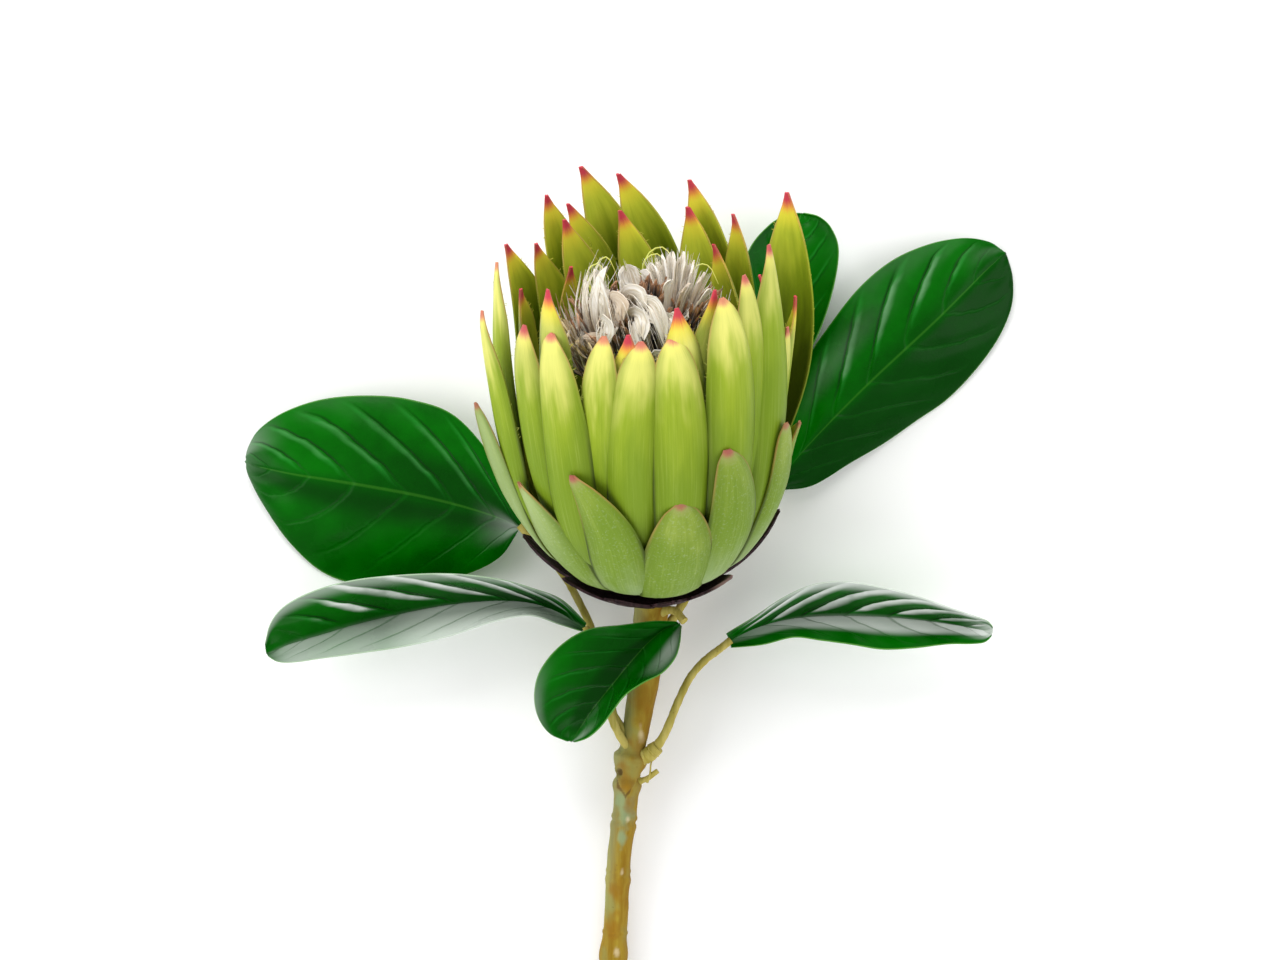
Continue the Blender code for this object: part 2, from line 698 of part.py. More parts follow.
def floret_grid(angle, root, tip, half_width, curl, twist):
    """The middle surface of one floret blade. curl bends its tip outwards."""
    grid = []
    for row in range(FLORET_ROWS):
        t = row / (FLORET_ROWS - 1)
        curled = curl * ease((t - FLORET_CURL_START) / (1 - FLORET_CURL_START))
        height = root[0] + (tip[0] - root[0]) * math.sin(t * math.pi / 2) - curled
        radius = root[1] + (tip[1] - root[1]) * t**1.4 + curled
        width = half_width * (0.5 + 0.5 * math.sin(math.pi * min(t * 1.15, 1))) * (1 - 0.45 * t**3)
        turn = angle + twist * t
        middle = head_point(turn, height, radius)
        across = sideways(turn + FLORET_TURN * t) * width
        crown = middle + outward(turn) * width * FLORET_CROWN
        if half_width > THREAD_HALF_WIDTH:
            grid.append([middle - across, crown, middle + across])
        else:
            grid.append([middle - across, middle + across])
    return grid


def florets(surface):
    """The tuft in the middle of the cup, fused with its core."""
    draw = random.Random(FLORET_SEED)
    body = solid("florets", turned(FLORET_CORE, TURNED_SIDES), surface)
    parts = []
    for count, root_height, root_radius, tip_height, tip_radius, half_width in FLORET_RINGS:
        start = draw.uniform(0, 360)
        for index in range(count):
            angle = start + 360 * (index + draw.uniform(-0.25, 0.25)) / count
            tip = (tip_height + draw.uniform(-3, 2.5), tip_radius + draw.uniform(-1.5, 1.5))
            root = (root_height + draw.uniform(-1, 1), root_radius - FLORET_THICKNESS)
            curl = draw.uniform(0, 3)
            width = half_width * draw.uniform(0.85, 1.15)
            grid = floret_grid(angle, root, tip, width, curl, draw.uniform(-8, 8))
            parts.append(solid("floret", blade(grid, lambda row, column: FLORET_THICKNESS), surface))
    fuse(body, parts)
    return body


def sepal_grid(angle, tip_height, flare, half_width):
    """The middle surface of one sepal, from the disc out under the bracts."""
    grid = []
    for t, share in SEPAL_OUTLINE:
        height = SEPAL_ROOT_HEIGHT + (tip_height - SEPAL_ROOT_HEIGHT) * t**1.5
        hugging = cup_radius(height) + SEPAL_CLEARANCE + flare * t
        radius = SEPAL_ROOT_RADIUS + (hugging - SEPAL_ROOT_RADIUS) * ease(t / SEPAL_SPREAD_SHARE)
        line = []
        for column in range(SEPAL_COLUMNS):
            reach = (2 * column / (SEPAL_COLUMNS - 1) - 1) * half_width * share
            turn = angle + math.degrees(reach / max(radius, CALYX_DISC_RADIUS))
            line.append(head_point(turn, height, radius))
        grid.append(line)
    return grid


def calyx(surface):
    """The disc under the head with its sepals fused to it."""
    profile = ((CALYX_LOW_HEIGHT, CALYX_FOOT_RADIUS), (CALYX_TOP_HEIGHT, CALYX_DISC_RADIUS))
    body = solid("calyx", turned(profile, TURNED_SIDES), surface)
    parts = []
    for sepal in SEPALS:
        parts.append(solid("sepal", blade(sepal_grid(*sepal), lambda row, column: SEPAL_THICKNESS), surface))
    fuse(body, parts)
    return body


def stem_radius(place):
    """The stem's radius at a place: it tapers below the head and swells at its nodes."""
    below = -place.y
    taper = ease((below - STEM_TAPER_START) / STEM_TAPER_LENGTH)
    radius = STEM_TOP_RADIUS + (STEM_LOW_RADIUS - STEM_TOP_RADIUS) * taper
    for middle, extra, half_length in STEM_NODES:
        radius += extra * math.exp(-(((below - middle) / half_length) ** 2))
    return radius


def stem(surface):
    """The woody stem, with its side shoots and leaf stalks fused to it."""
    top = CALYX_LOW_HEIGHT - NODE_GAP
    start = (head_point(0, top, 0), head_point(0, top - STEM_STRAIGHT_LENGTH, 0))
    path = smooth_path((*start, *STEM_PATH), STEM_ROWS)
    body = solid("stem", tube(path, [stem_radius(place) for place in path], STEM_SIDES), surface)
    parts = []
    for name, (points, start_radius, end_radius) in SHOOTS.items():
        count = 2 * len(points) - 1
        line = smooth_path(points, count)
        radii = []
        for step in range(count):
            radii.append(start_radius + (end_radius - start_radius) * ease(2 * step / (count - 1)))
        parts.append(solid(name, tube(line, radii, SHOOT_SIDES), surface))
    fuse(body, parts)
    return body


def leaf_grid(leaf):
    """The middle surface of one leaf, with its halves curved and raised between the side veins."""
    midrib = smooth_path(leaf["midrib"], LEAF_ROWS)
    left = smooth_path(leaf["left"], LEAF_ROWS)
    right = smooth_path(leaf["right"], LEAF_ROWS)
    grid = []
    for row in range(LEAF_ROWS):
        t = row / (LEAF_ROWS - 1)
        along = midrib[min(row + 1, LEAF_ROWS - 1)] - midrib[max(row - 1, 0)]
        up = (right[row] - left[row]).cross(along).normalized()
        if up.z < 0:
            up = -up
        line = []
        for column in range(-LEAF_HALF_COLUMNS, LEAF_HALF_COLUMNS + 1):
            share = abs(column) / LEAF_HALF_COLUMNS
            edge = left[row] if column < 0 else right[row]
            vein = math.cos(2 * math.pi * (LEAF_VEIN_PAIRS * t - LEAF_VEIN_SLANT * share))
            relief = leaf["cup"] + LEAF_QUILT_HEIGHT * vein
            relief *= math.sin(math.pi * share) * math.sin(math.pi * t)
            line.append(midrib[row].lerp(edge, share) + up * relief)
        grid.append(line)
    return grid


def leaf(name, shape, surface):
    def thickness(row, column):
        share = abs(column - LEAF_HALF_COLUMNS) / LEAF_HALF_COLUMNS
        return LEAF_RIB_THICKNESS + (LEAF_EDGE_THICKNESS - LEAF_RIB_THICKNESS) * ease(share / LEAF_RIB_SHARE)

    return solid(name, blade(leaf_grid(shape), thickness), surface)


def clear_scene():
    for old in list(bpy.data.objects):
        bpy.data.objects.remove(old)


def build():
    clear_scene()
    bark = material("stem_bark", (0.42, 0.34, 0.1), 0.6)
    dark = material("calyx_dark", (0.03, 0.015, 0.02), 0.7)
    green = material("bract_green", (0.4, 0.55, 0.1), 0.5)
    white = material("floret_white", (0.8, 0.75, 0.66), 0.6)
    glossy = material("leaf_green", (0.0, 0.1, 0.01), 0.25)
    stem(bark)
    calyx(dark)
    bract_head(green)
    florets(white)
    for name, shape in LEAVES.items():
        leaf(name, shape, glossy)


build()
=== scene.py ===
"""The looks of a protea flower, cut and laid on its back on a pale surface.

The stem runs along -Y, the head opens towards +Y and tilts up, and the leaves spread to -X and +X.
Sizes are in millimetres and degrees, and the meshes are written in metres.
"""

import math
import random

import bpy
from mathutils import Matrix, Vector, noise


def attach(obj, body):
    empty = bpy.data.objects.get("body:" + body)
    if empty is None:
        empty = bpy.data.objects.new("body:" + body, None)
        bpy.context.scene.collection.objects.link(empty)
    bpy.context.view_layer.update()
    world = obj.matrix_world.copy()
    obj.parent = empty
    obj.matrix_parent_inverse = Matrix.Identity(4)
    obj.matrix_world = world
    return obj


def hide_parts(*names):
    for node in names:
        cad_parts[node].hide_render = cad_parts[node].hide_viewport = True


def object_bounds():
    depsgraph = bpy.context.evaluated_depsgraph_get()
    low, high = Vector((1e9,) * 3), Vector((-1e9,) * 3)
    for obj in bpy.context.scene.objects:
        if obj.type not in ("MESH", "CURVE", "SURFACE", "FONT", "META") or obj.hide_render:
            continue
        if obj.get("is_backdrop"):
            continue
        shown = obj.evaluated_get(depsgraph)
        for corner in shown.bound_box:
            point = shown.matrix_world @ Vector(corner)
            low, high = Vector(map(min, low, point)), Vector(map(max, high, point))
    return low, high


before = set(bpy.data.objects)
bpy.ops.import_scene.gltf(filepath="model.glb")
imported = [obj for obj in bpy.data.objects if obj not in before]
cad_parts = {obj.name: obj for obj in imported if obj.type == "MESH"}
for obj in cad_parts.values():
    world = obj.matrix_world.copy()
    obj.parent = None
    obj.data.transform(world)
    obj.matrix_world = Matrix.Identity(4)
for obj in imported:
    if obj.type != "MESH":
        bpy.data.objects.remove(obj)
CAD_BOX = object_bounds()

MM = 0.001
BODY = "root"

# Places are measured from a mark on the surface under the head. The part's origin lies here from it.
ORIGIN_FROM_MARK = (-3.0, -48.55)

# The photograph's width, and how high above the surface and how long the lens the camera needs to
# show the flower as in the photograph.
PHOTO_WIDTH = 1280
CAMERA_HEIGHT = 990.0
CAMERA_REACH = 960.0
PIXELS_PER_MM = 3.6
SENSOR_WIDTH = 36.0

# The head's frame: its base point, how far its axis rises from the surface and how far it leans
# sideways. Angles round the head start at its upper front and grow towards +X.
HEAD_BASE = Vector((3.1, -28.7, 18.2))
HEAD_RISE = 29.0
HEAD_LEAN = -1.5

# The cup that the bracts form: its radius grows from the neck to the rim over the swell length.
CUP_NECK_RADIUS = 9.0
CUP_RIM_RADIUS = 43.0
CUP_SWELL = 21.0

NOISE_ROUGHNESS = 0.6
# Faces that meet at more than this many degrees have a sharp edge between them.
SHARP_ANGLE = 50
# A tube's side direction that is shorter than this lies along the tube, and another is taken.
SHORT_NORMAL = 0.01
TURNED_SIDES = 48
# What a turned piece's points say of their place: on no blade, and far from any tip.
TURNED_PLACE = (-1.0, 0.0, 70.0)

BRACT_SEED = 3
BRACT_THICKNESS = 0.9
BRACT_EDGE_THICKNESS = 0.4
LONG_BRACT_BOAT_RADIUS = 10.0
LOW_BRACT_BOAT_RADIUS = 14.0
BRACT_ROWS = 30
BRACT_COLUMNS = 13
BRACT_ROW_CROWDING = 1.25
BRACT_ROOT_SINK = 2.9
BRACT_ROOT_SHARE = 0.22
LONG_BRACT_ROOT_HEIGHT = 5.0
INNER_BRACT_ROOT_HEIGHT = 16.0
LOW_BRACT_ROOT_HEIGHT = 2.4
# A bract's outline: how far along it, and its half width there as a share of the bract's.
LONG_BRACT_OUTLINE = (
    (0.0, 0.36), (0.2, 0.66), (0.44, 0.94), (0.67, 1.0), (0.84, 0.82), (0.92, 0.47), (0.96, 0.24),
    (1.0, 0.06),
)
BLUNT_BRACT_OUTLINE = (
    (0.0, 0.36), (0.2, 0.68), (0.44, 0.96), (0.67, 1.0), (0.84, 0.88), (0.92, 0.64), (0.97, 0.34),
    (1.0, 0.07),
)
LOW_BRACT_OUTLINE = (
    (0.0, 0.5), (0.2, 0.84), (0.42, 1.0), (0.64, 0.94), (0.82, 0.74), (0.94, 0.44), (1.0, 0.1),
)
# What the material reads for a bract on the back or inside, on the front, and low on the head.
BACK_SORT = 0
FRONT_SORT = 0.5
LOW_SORT = 1
# A bract's form changes from these shares of its length on: it bends, twists, hooks sideways, nods
# in or out, curls inwards where it is blunt, and folds along its middle.
BRACT_BEND_START = 0.5
BRACT_TWIST_START = 0.2
BRACT_TWIST_LENGTH = 0.4
BRACT_HOOK_START = 0.68
BRACT_HOOK_POWER = 1.8
BRACT_HOOK = 4.2
FRONT_HOOK = (-1.2, 0.6)
NOD_START = 0.84
BRACT_NOD = (-1.8, 0.9)
CURL_START = 0.78
CURL_DEPTH = 4.0
CURL_DROP = 2.2
BRACT_FOLD_START = 0.6
BRACT_TIP_FOLD = 0.4
BRACT_WAVE = 0.35
BRACT_RIB = 0.03
# The cosine of a bract's angle says whether it is on the back or blunt. Only layers that stand
# farther out than this are blunt.
BACK_COSINE = -0.35
BLUNT_COSINE = 0.3
BLUNT_LAYER = -4.0
HAIR_COUNT = 11
HAIR_RADIUS = 0.07
HAIR_LENGTHS = (0.4, 1.1)
HAIR_PLACE = (0.8, 0.8, 8)

# Each bract: angle of its body, angle of its tip, height and radius of its tip, half width, how far
# it stands outside the cup (inside where negative) and its twist about its own length.
OUTER_BRACTS = (
    (-71, -81, 89, 44, 6.4, 0.6, -14),
    (-85, -99, 97, 38.5, 5.6, -1.8, -30),
    (-53, -56, 93, 40, 6.5, -2.8, -8),
    (-33, -41, 94, 39, 8.6, 0.2, 0),
    (-19, -18, 95, 36, 6.0, -3.0, 0),
    (-6, 1, 94, 36, 7.8, -0.9, 0),
    (14, 13, 95, 36, 8.6, 0.6, 0),
    (36, 39, 103, 37, 8.6, 0.2, 4),
    (48, 53, 106, 36, 6.0, -2.8, 8),
    (58, 72, 109, 35, 7.6, -0.4, 14),
    (76, 74, 85, 41, 6.0, -3.4, 14),
    (112, 112, 110, 46.5, 8.4, 2.0, -42),
)
BACK_BRACTS = (
    (96, 96, 86, 42, 6.5, -2.4, 0),
    (-126, -122, 97, 40, 7.5, -1.6, 8),
    (-138, -132, 96, 36, 7.0, -4.4, 0),
    (-150, -147, 105, 43, 7.0, 0.0, 0),
    (-154, -152, 98, 38, 7.5, -5.4, 0),
    (-164, -156, 101, 41, 7.0, -2.8, 0),
    (-172, -163, 110, 43, 8.4, 0.4, 0),
    (171, 183, 107, 42, 9.0, -0.4, 0),
    (178, 183, 98, 36, 7.4, -5.8, 0),
    (147, 156, 105, 42, 8.6, 0.2, 0),
    (150, 154, 99, 38, 8.4, -4.8, 0),
    (134, 134, 99, 40, 7.0, -2.4, 0),
)
INNER_BRACTS = (
    (130, 138, 91, 33, 7.0, -7.4, 0),
    (28, 40, 102, 30, 6.0, -9.0, 0),
    (19, 18, 100, 32, 7.5, -6.4, 0),
    (-7, -6, 94, 32, 7.0, -6.2, 0),
    (-43, -46, 103, 34, 7.0, -6.2, 0),
    (62, 62, 96, 31, 6.5, -7.4, 0),
    (88, 92, 94, 33, 6.5, -6.8, 0),
    (-108, -112, 88, 34, 6.5, -6.0, 0),
    (-134, -144, 89, 28, 5.0, -10.0, 0),
)
LOW_BRACTS = (
    (-74, -79, 63, 47, 4.2, 2.8, -32),
    (-45, -63, 43, 39, 8.4, 2.2, -6),
    (-14, -27, 55, 41.5, 8.4, 3.0, 0),
    (13, 14, 47, 41, 10.8, 4.0, 0),
    (37, 31, 61, 43, 9.0, 2.6, 0),
    (66, 60, 61, 43, 7.0, 2.2, 6),
)
LOW_BACK_COUNT = 9
LOW_BACK_START = 87.5
LOW_BACK_STEP = 22.5
LOW_BACK_LEAN = 3
LOW_BACK_HALF_WIDTH = 8.2
LOW_BACK_TIP_HEIGHTS = (50.0, 42.0)
LOW_BACK_LAYERS = (1.3, 2.7)

RECEPTACLE_TOP = 25.0
RECEPTACLE_HEIGHTS = (0.8, 2, 4, 8, 13, 19, RECEPTACLE_TOP)
RECEPTACLE_INSET = 2.0
RECEPTACLE_WALL = 3.0
HOLLOW_FLOOR_HEIGHT = 13.0
HOLLOW_FLOOR_RADIUS = 12.0

# Florets. Places here are (sideways, front, height) in the head's frame.
FLORET_CORE = ((13.35, 10.0), (30.0, 13.0), (62.0, 15.0), (74.0, 13.0), (80.0, 6.0))
FLORET_SEED = 11
PETAL_ROWS = 18
PETAL_COLUMNS = 13
HUSK_ROWS = 8
HUSK_COLUMNS = 5
PETAL_THICKNESS = 0.35
# Each tuft petal: root, knee and tip, half width.
TUFT_PETALS = (
    ((-9, 3, 70), (-14, 3, 88), (-9, 0, 99), 4.2),
    ((-7, 4, 70), (-11, 7, 86), (-12, 3, 97), 3.8),
    ((-10, 1, 70), (-16, 0, 84), (-14, -3, 96), 3.4),
    ((-6, 4, 70), (-8, 8, 86), (-4, 9, 94), 3.2),
    ((-3, 3, 76), (-3, 8, 93), (3, 15, 88), 3.4),
    ((-5, 3, 76), (-7, 10, 92), (-4, 16, 84), 3.6),
    ((-1, 3, 76), (1, 11, 92), (6, 18, 82), 3.2),
    ((1, 3, 76), (-2, 12, 89), (1, 20, 79), 3.4),
    ((-4, 4, 74), (-10, 13, 87), (-10, 18, 78), 3.4),
    ((3, 4, 74), (6, 11, 88), (10, 16, 82), 3.0),
    ((7, 0, 74), (3, -1, 90), (-1, -3, 95), 2.4),
    ((7, 0, 74), (5, -2, 91), (2, -5, 97), 2.4),
    ((8, 0, 74), (7, -2, 92), (5, -5, 99), 2.4),
    ((8, 0, 74), (8, -2, 92), (8, -5, 100), 2.4),
    ((8, 0, 74), (10, -2, 92), (11, -5, 100), 2.4),
    ((9, 0, 74), (12, -1, 91), (14, -4, 98), 2.4),
    ((9, 1, 74), (14, 0, 89), (17, -2, 95), 2.4),
    ((9, 2, 74), (15, 2, 87), (19, 1, 91), 2.4),
    ((8, 3, 74), (10, 4, 88), (13, 4, 95), 2.4),
    ((7, 3, 74), (7, 4, 89), (8, 4, 96), 2.4),
    ((0, -4, 72), (-3, -8, 87), (-5, -10, 94), 3.0),
    ((4, -5, 72), (4, -10, 87), (3, -13, 94), 3.0),
    ((9, -5, 72), (12, -10, 87), (13, -13, 92), 3.0),
    ((-7, -5, 70), (-12, -10, 85), (-13, -13, 92), 3.0),
)
SILKY_PETALS = (
    ((-9, 5, 66), (-17, 9, 76), (-21, 11, 84), 3.2),
    ((-10, 2, 66), (-18, 5, 78), (-22, 6, 86), 3.0),
    ((-8, 7, 66), (-14, 12, 76), (-17, 15, 83), 3.0),
    ((-9, 5, 66), (-16, 12, 78), (-18, 18, 84), 3.2),
    ((-10, 4, 66), (-18, 8, 78), (-20, 14, 84), 3.0),
    ((-8, 8, 66), (-13, 14, 78), (-13, 20, 82), 3.0),
)
# Clusters of dried bits: middle, spread and how many.
HUSK_CLUSTERS = (
    ((3, 5, 94), 3.6, 26),
    ((8, 8, 89), 3.2, 18),
    ((-7, 14, 88), 2.6, 12),
    ((15, 6, 87), 3.0, 16),
    ((-17, -2, 86), 3.4, 20),
    ((19, -2, 88), 3.0, 14),
)
# Each husk of a cluster: its length, its root's place as a share of its tip's, how far chance moves
# its knee, and from and to which half width.
HUSK_LENGTH = 8.0
HUSK_ROOT_SHARE = 0.8
HUSK_KNEE_SPREAD = 0.8
HUSK_HALF_WIDTHS = (0.3, 0.8)
# The florets' lower tubes stand close together round the core: (radius, height) from foot to head.
TUBE_PROFILE = ((10.4, 17.0), (13.0, 32.0), (14.8, 56.0), (14.6, 70.0))
TUBE_COUNT = 42
TUBE_RADIUS = 1.1
# Rings of short florets that fill the foot of the cup: how many, radius, foot and head height.
SHORT_FLORETS = (
    (40, 17.5, 14, 46),
    (46, 21.5, 15, 40),
    (52, 25.5, 17, 36),
)
SHORT_RADIUS_SPREAD = 1.6
SHORT_HEIGHT_SPREAD = (-6, 5)
FRINGE_COUNT = 12
FRINGE_RADIUS = 0.17
# How far a fringe's threads stand aside at knee and tip, as shares of what chance gives.
FRINGE_KNEE_SHARE = 0.62
FRINGE_TIP_SHARE = 0.78
# Rings of petals that fill the tuft: how many, root radius and height, tip radius and height, and
# half width.
FILL_PETAL_RINGS = (
    (16, 11.5, 64, 19.0, 82, 2.4),
    (13, 8.0, 68, 14.0, 87, 2.2),
    (9, 4.0, 70, 8.0, 90, 2.0),
)
# Threads: how many, first and last angle, root radius and height, tip radius and height.
THREAD_FANS = (
    (60, -128, -48, 13.5, 66, 23.5, 84),
    (46, 52, 118, 13.5, 66, 22.5, 86),
    (30, -48, 52, 13.0, 66, 20.0, 77),
    (40, 118, 232, 13.0, 68, 19.5, 88),
)
THREAD_ROWS = 9
THREAD_TAPER = 0.85
THREAD_RADIUS = 0.27
# How far chance moves a fan's threads in reach and in height, and how far inside and below its tip
# each one has its knee.
FAN_REACH_SPREAD = (-2.5, 2)
FAN_HEIGHT_SPREAD = (-5, 4)
FAN_KNEE_INSET = 3
FAN_KNEE_DROP = 9
# The loose husks stand in the tuft's dome: how many, from and to which radius, how high in the
# middle and how much lower for each millimetre outwards, and how wide.
HUSK_COUNT = 30
LOOSE_HUSK_RADII = (5, 19)
LOOSE_HUSK_TOP = 92
LOOSE_HUSK_SLOPE = 0.35
LOOSE_HUSK_HALF_WIDTHS = (0.5, 1.0)
# A petal's width grows from a share of its full width at its root, and shrinks again at its tip.
PETAL_ROOT_WIDTH = 0.3
PETAL_WIDEST = 0.55
PETAL_TIP_START = 0.8
PETAL_TIP_LOSS = 0.75
PETAL_TWIST = 0.5
PETAL_FRAY_START = 0.5
PETAL_FRAY = 0.3
PETAL_RIB = 0.13
PETAL_CROWN = 0.36
# What the material reads for a white petal, a silky brownish one, a dried husk and a green loop.
PETAL_SORT = 0
SILKY_SORT = 0.5
HUSK_SORT = 1
LOOP_SORT = 2
LOOP_RADIUS = 0.3
LOOP_THREADS = (
    ((-12, -12, 86), (-12.5, -14, 92), (-9.5, -14, 94.5), (-7, -12, 90)),
    ((-14, -10, 86), (-15, -12, 91), (-12, -13, 93), (-9, -11, 89)),
    ((0, -12, 87), (0.5, -14, 93), (4.5, -15, 94.5), (7.5, -12, 90)),
    ((-1, -13, 87), (1.5, -16, 94), (6, -17, 95.5), (9.5, -13, 91)),
    ((12, -10, 87), (14.5, -12, 92), (18, -12, 92), (20.5, -9, 88)),
)

CALYX_SEED = 4
CALYX_LOW_HEIGHT = -2.0
CALYX_TOP_HEIGHT = 0.1
CALYX_DISC_RADIUS = 8.0
CALYX_FOOT_RADIUS = 6.8
SEPAL_THICKNESS = 0.7
SEPAL_ROWS = 14
SEPAL_COLUMNS = 9
SEPAL_ROOT_HEIGHT = -0.9
SEPAL_ROOT_RADIUS = 5.0
SEPAL_SPREAD_SHARE = 0.4
SEPAL_RIPPLE = 0.25
SEPAL_OUTLINE = ((0.0, 0.35), (0.3, 0.85), (0.6, 1.0), (0.85, 0.6), (1.0, 0.1))
SEPAL_CLEARANCE = 4.6
# Each sepal: angle, height of its tip, how far it flares out there, and half width.
SEPALS = (
    (-90, 16, 3.5, 6.5),
    (-56, 11, 1.2, 7.2),
    (-22, 8, 0.8, 7.4),
    (16, 6, 0.0, 6.5),
    (56, 10, 0.5, 7.0),
    (96, 20, 2.0, 6.0),
    (134, 10, 0.0, 6.5),
    (176, 5, 0.0, 6.0),
    (-136, 10, 0.0, 6.5),
)
PALE_SEPAL_ANGLE = 56

STEM_GAP = 0.35
STEM_STRAIGHT_LENGTH = 5.0
STEM_PATH = (
    (2.6, -43.0, 12.2), (2.0, -51.0, 11.4), (0.3, -62.0, 10.9), (-1.4, -72.0, 10.2), (-3.4, -84.0, 9.5),
    (-4.4, -95.0, 8.8), (-5.7, -105.0, 8.2), (-6.3, -114.0, 7.6), (-6.8, -124.0, 7.0),
    (-7.4, -132.0, 6.5), (-8.3, -148.0, 5.6), (-9.4, -165.0, 4.6), (-10.3, -183.6, 3.39),
)
STEM_TOP_RADIUS = 4.9
STEM_LOW_RADIUS = 3.4
STEM_TAPER_START = 33.0
STEM_TAPER_LENGTH = 55.0
STEM_SIDES = 64
STEM_ROWS = 260
# The bark's unevenness: how deep, and how often round and along the stem.
BARK_WAVES = (
    (0.08, 2.2, 0.08),
    (0.16, 1.2, 0.3),
)
# Swellings of the stem: how far down -Y, how much thicker, and half length.
STEM_NODES = (
    (79.0, 0.55, 2.2),
    (86.5, 0.8, 2.0),
    (98.0, 0.45, 1.6),
    (113.5, 0.35, 1.4),
    (135.0, 0.8, 3.0),
    (164.0, 0.6, 2.4),
)

# The bark's sheath is an open V on the stem's front. Turns round the stem start at its top and grow
# towards -X.
SHEATH_TURN = 0.1
SHEATH_BOTTOM = -89.0
SHEATH_RISE = 5.5
SHEATH_TOP = -79.0
SHEATH_HEIGHT = 0.8
# The painted shade along the step under the sheath's edge: its half width, turns and darkness.
SHEATH_SHADE_HALF_WIDTH = 0.85
SHEATH_SHADE_TURNS = (-0.3, 1.2)
SHEATH_SHADE_DARKNESS = 0.8
HOLE_TURN = 0.75
HOLE_PLACE = -82.8
HOLE_DEPTH = 1.4
HOLE_RADIUS = 1.3
HOLE_LIP = 0.3
# Marks on the bark: x, y, size, and 0 for teal, 1 for orange or 2 for pale.
STEM_MARKS = (
    (-4.4, -94.0, 2.6, 0),
    (-5.6, -90.5, 2.0, 0),
    (-5.0, -101.0, 1.6, 0),
    (-4.0, -85.0, 2.2, 1),
    (-3.0, -91.5, 1.6, 1),
    (0.6, -62.0, 3.2, 1),
    (0.0, -76.0, 2.6, 1),
    (-6.9, -116.0, 1.8, 1),
    (-7.3, -127.0, 2.2, 1),
    (0.2, -71.4, 0.9, 2),
    (-3.6, -95.8, 0.6, 2),
    (-5.2, -111.0, 0.5, 2),
    (-6.8, -133.5, 0.8, 2),
)
# The bark is greenish on its -X side, down to this far along -Y, and orange on the other. This side
# tint is partly the bark's own colour and partly painted shade.
STEM_SIDE_TINT = 0.6
STEM_GREEN_END = 135.0
STEM_GREEN_FADE = 30
# Thin rings round the bark: where, and how far each stands out (in where negative).
STEM_RINGS = (
    (-78.0, 0.35),
    (-84.3, -0.35),
    (-95.6, 0.3),
    (-96.8, -0.35),
    (-111.0, 0.25),
    (-128.5, 0.3),
)
STEM_RING_WIDTH = 0.55
# How much longer than wide a mark is, and how ragged its border.
MARK_STRETCH = 1.6
MARK_RAGGEDNESS = 0.7

SHOOT_SIDES = 16
SHOOT_LEAST = 0.96
SHOOT_KNOTS = 0.16
# Each shoot and stalk runs on past its last point by this much, into its leaf.
STALK_REACH = 1.4
# Each shoot: its radius where it starts and where it ends, and its line.
SHOOTS = (
    # stalk left upper
    (1.5, 1.15, (
        (-2.0, -75.0, 11.0), (-7.4, -67.0, 11.0), (-9.6, -59.5, 10.5), (-11.9, -49.6, 9.5),
        (-14.2, -41.2, 9.0), (-17.9, -33.5, 9.0), (-20.7, -28.4, 9.5), (-24.9, -22.7, 10.5),
        (-29.2, -18.2, 11.3), (-33.2, -13.8, 11.9),
    )),
    # stalk left lower
    (1.25, 1.1, (
        (-2.6, -77.0, 11.5), (-6.6, -70.5, 14.0), (-9.6, -62.0, 15.0), (-11.8, -52.2, 15.5),
        (-13.6, -45.7, 15.4), (-14.8, -42.7, 15.2),
    )),
    # stalk front
    (2.0, 1.2, (
        (4.0, -37.5, 14.5), (7.4, -36.6, 18.0), (10.0, -36.8, 20.6), (11.6, -38.6, 22.0),
    )),
    # stalk right lower
    (1.55, 1.15, (
        (-1.5, -79.5, 10.4), (2.6, -77.6, 12.0), (6.8, -72.1, 13.5), (10.7, -62.7, 14.0),
        (14.1, -55.9, 13.5), (18.1, -51.2, 13.0), (22.1, -48.1, 12.6), (24.6, -46.2, 12.3),
    )),
    # stalk right
    (1.4, 1.15, (
        (3.0, -46.0, 12.0), (8.6, -40.2, 11.6), (14.2, -31.8, 9.5), (20.5, -23.6, 6.6),
        (27.7, -16.2, 4.4), (33.4, -9.6, 4.1), (37.8, -3.0, 5.0),
    )),
    # stalk right upper
    (1.3, 1.1, (
        (20.5, -23.6, 6.6), (24.0, -16.5, 4.4), (26.6, -8.6, 3.4), (28.3, -1.2, 4.0),
    )),
    # socket right lower
    (2.6, 2.3, (
        (-1.0, -79.2, 10.6), (2.2, -77.8, 11.9), (4.0, -76.3, 12.5),
    )),
    # stub
    (2.0, 0.8, (
        (-3.0, -86.0, 9.6), (1.6, -84.8, 10.4), (3.9, -83.2, 10.8),
    )),
    # sprig
    (0.6, 0.25, (
        (1.8, -85.6, 10.6), (2.8, -83.4, 11.2), (3.1, -80.4, 11.4), (4.0, -77.6, 11.6),
    )),
)
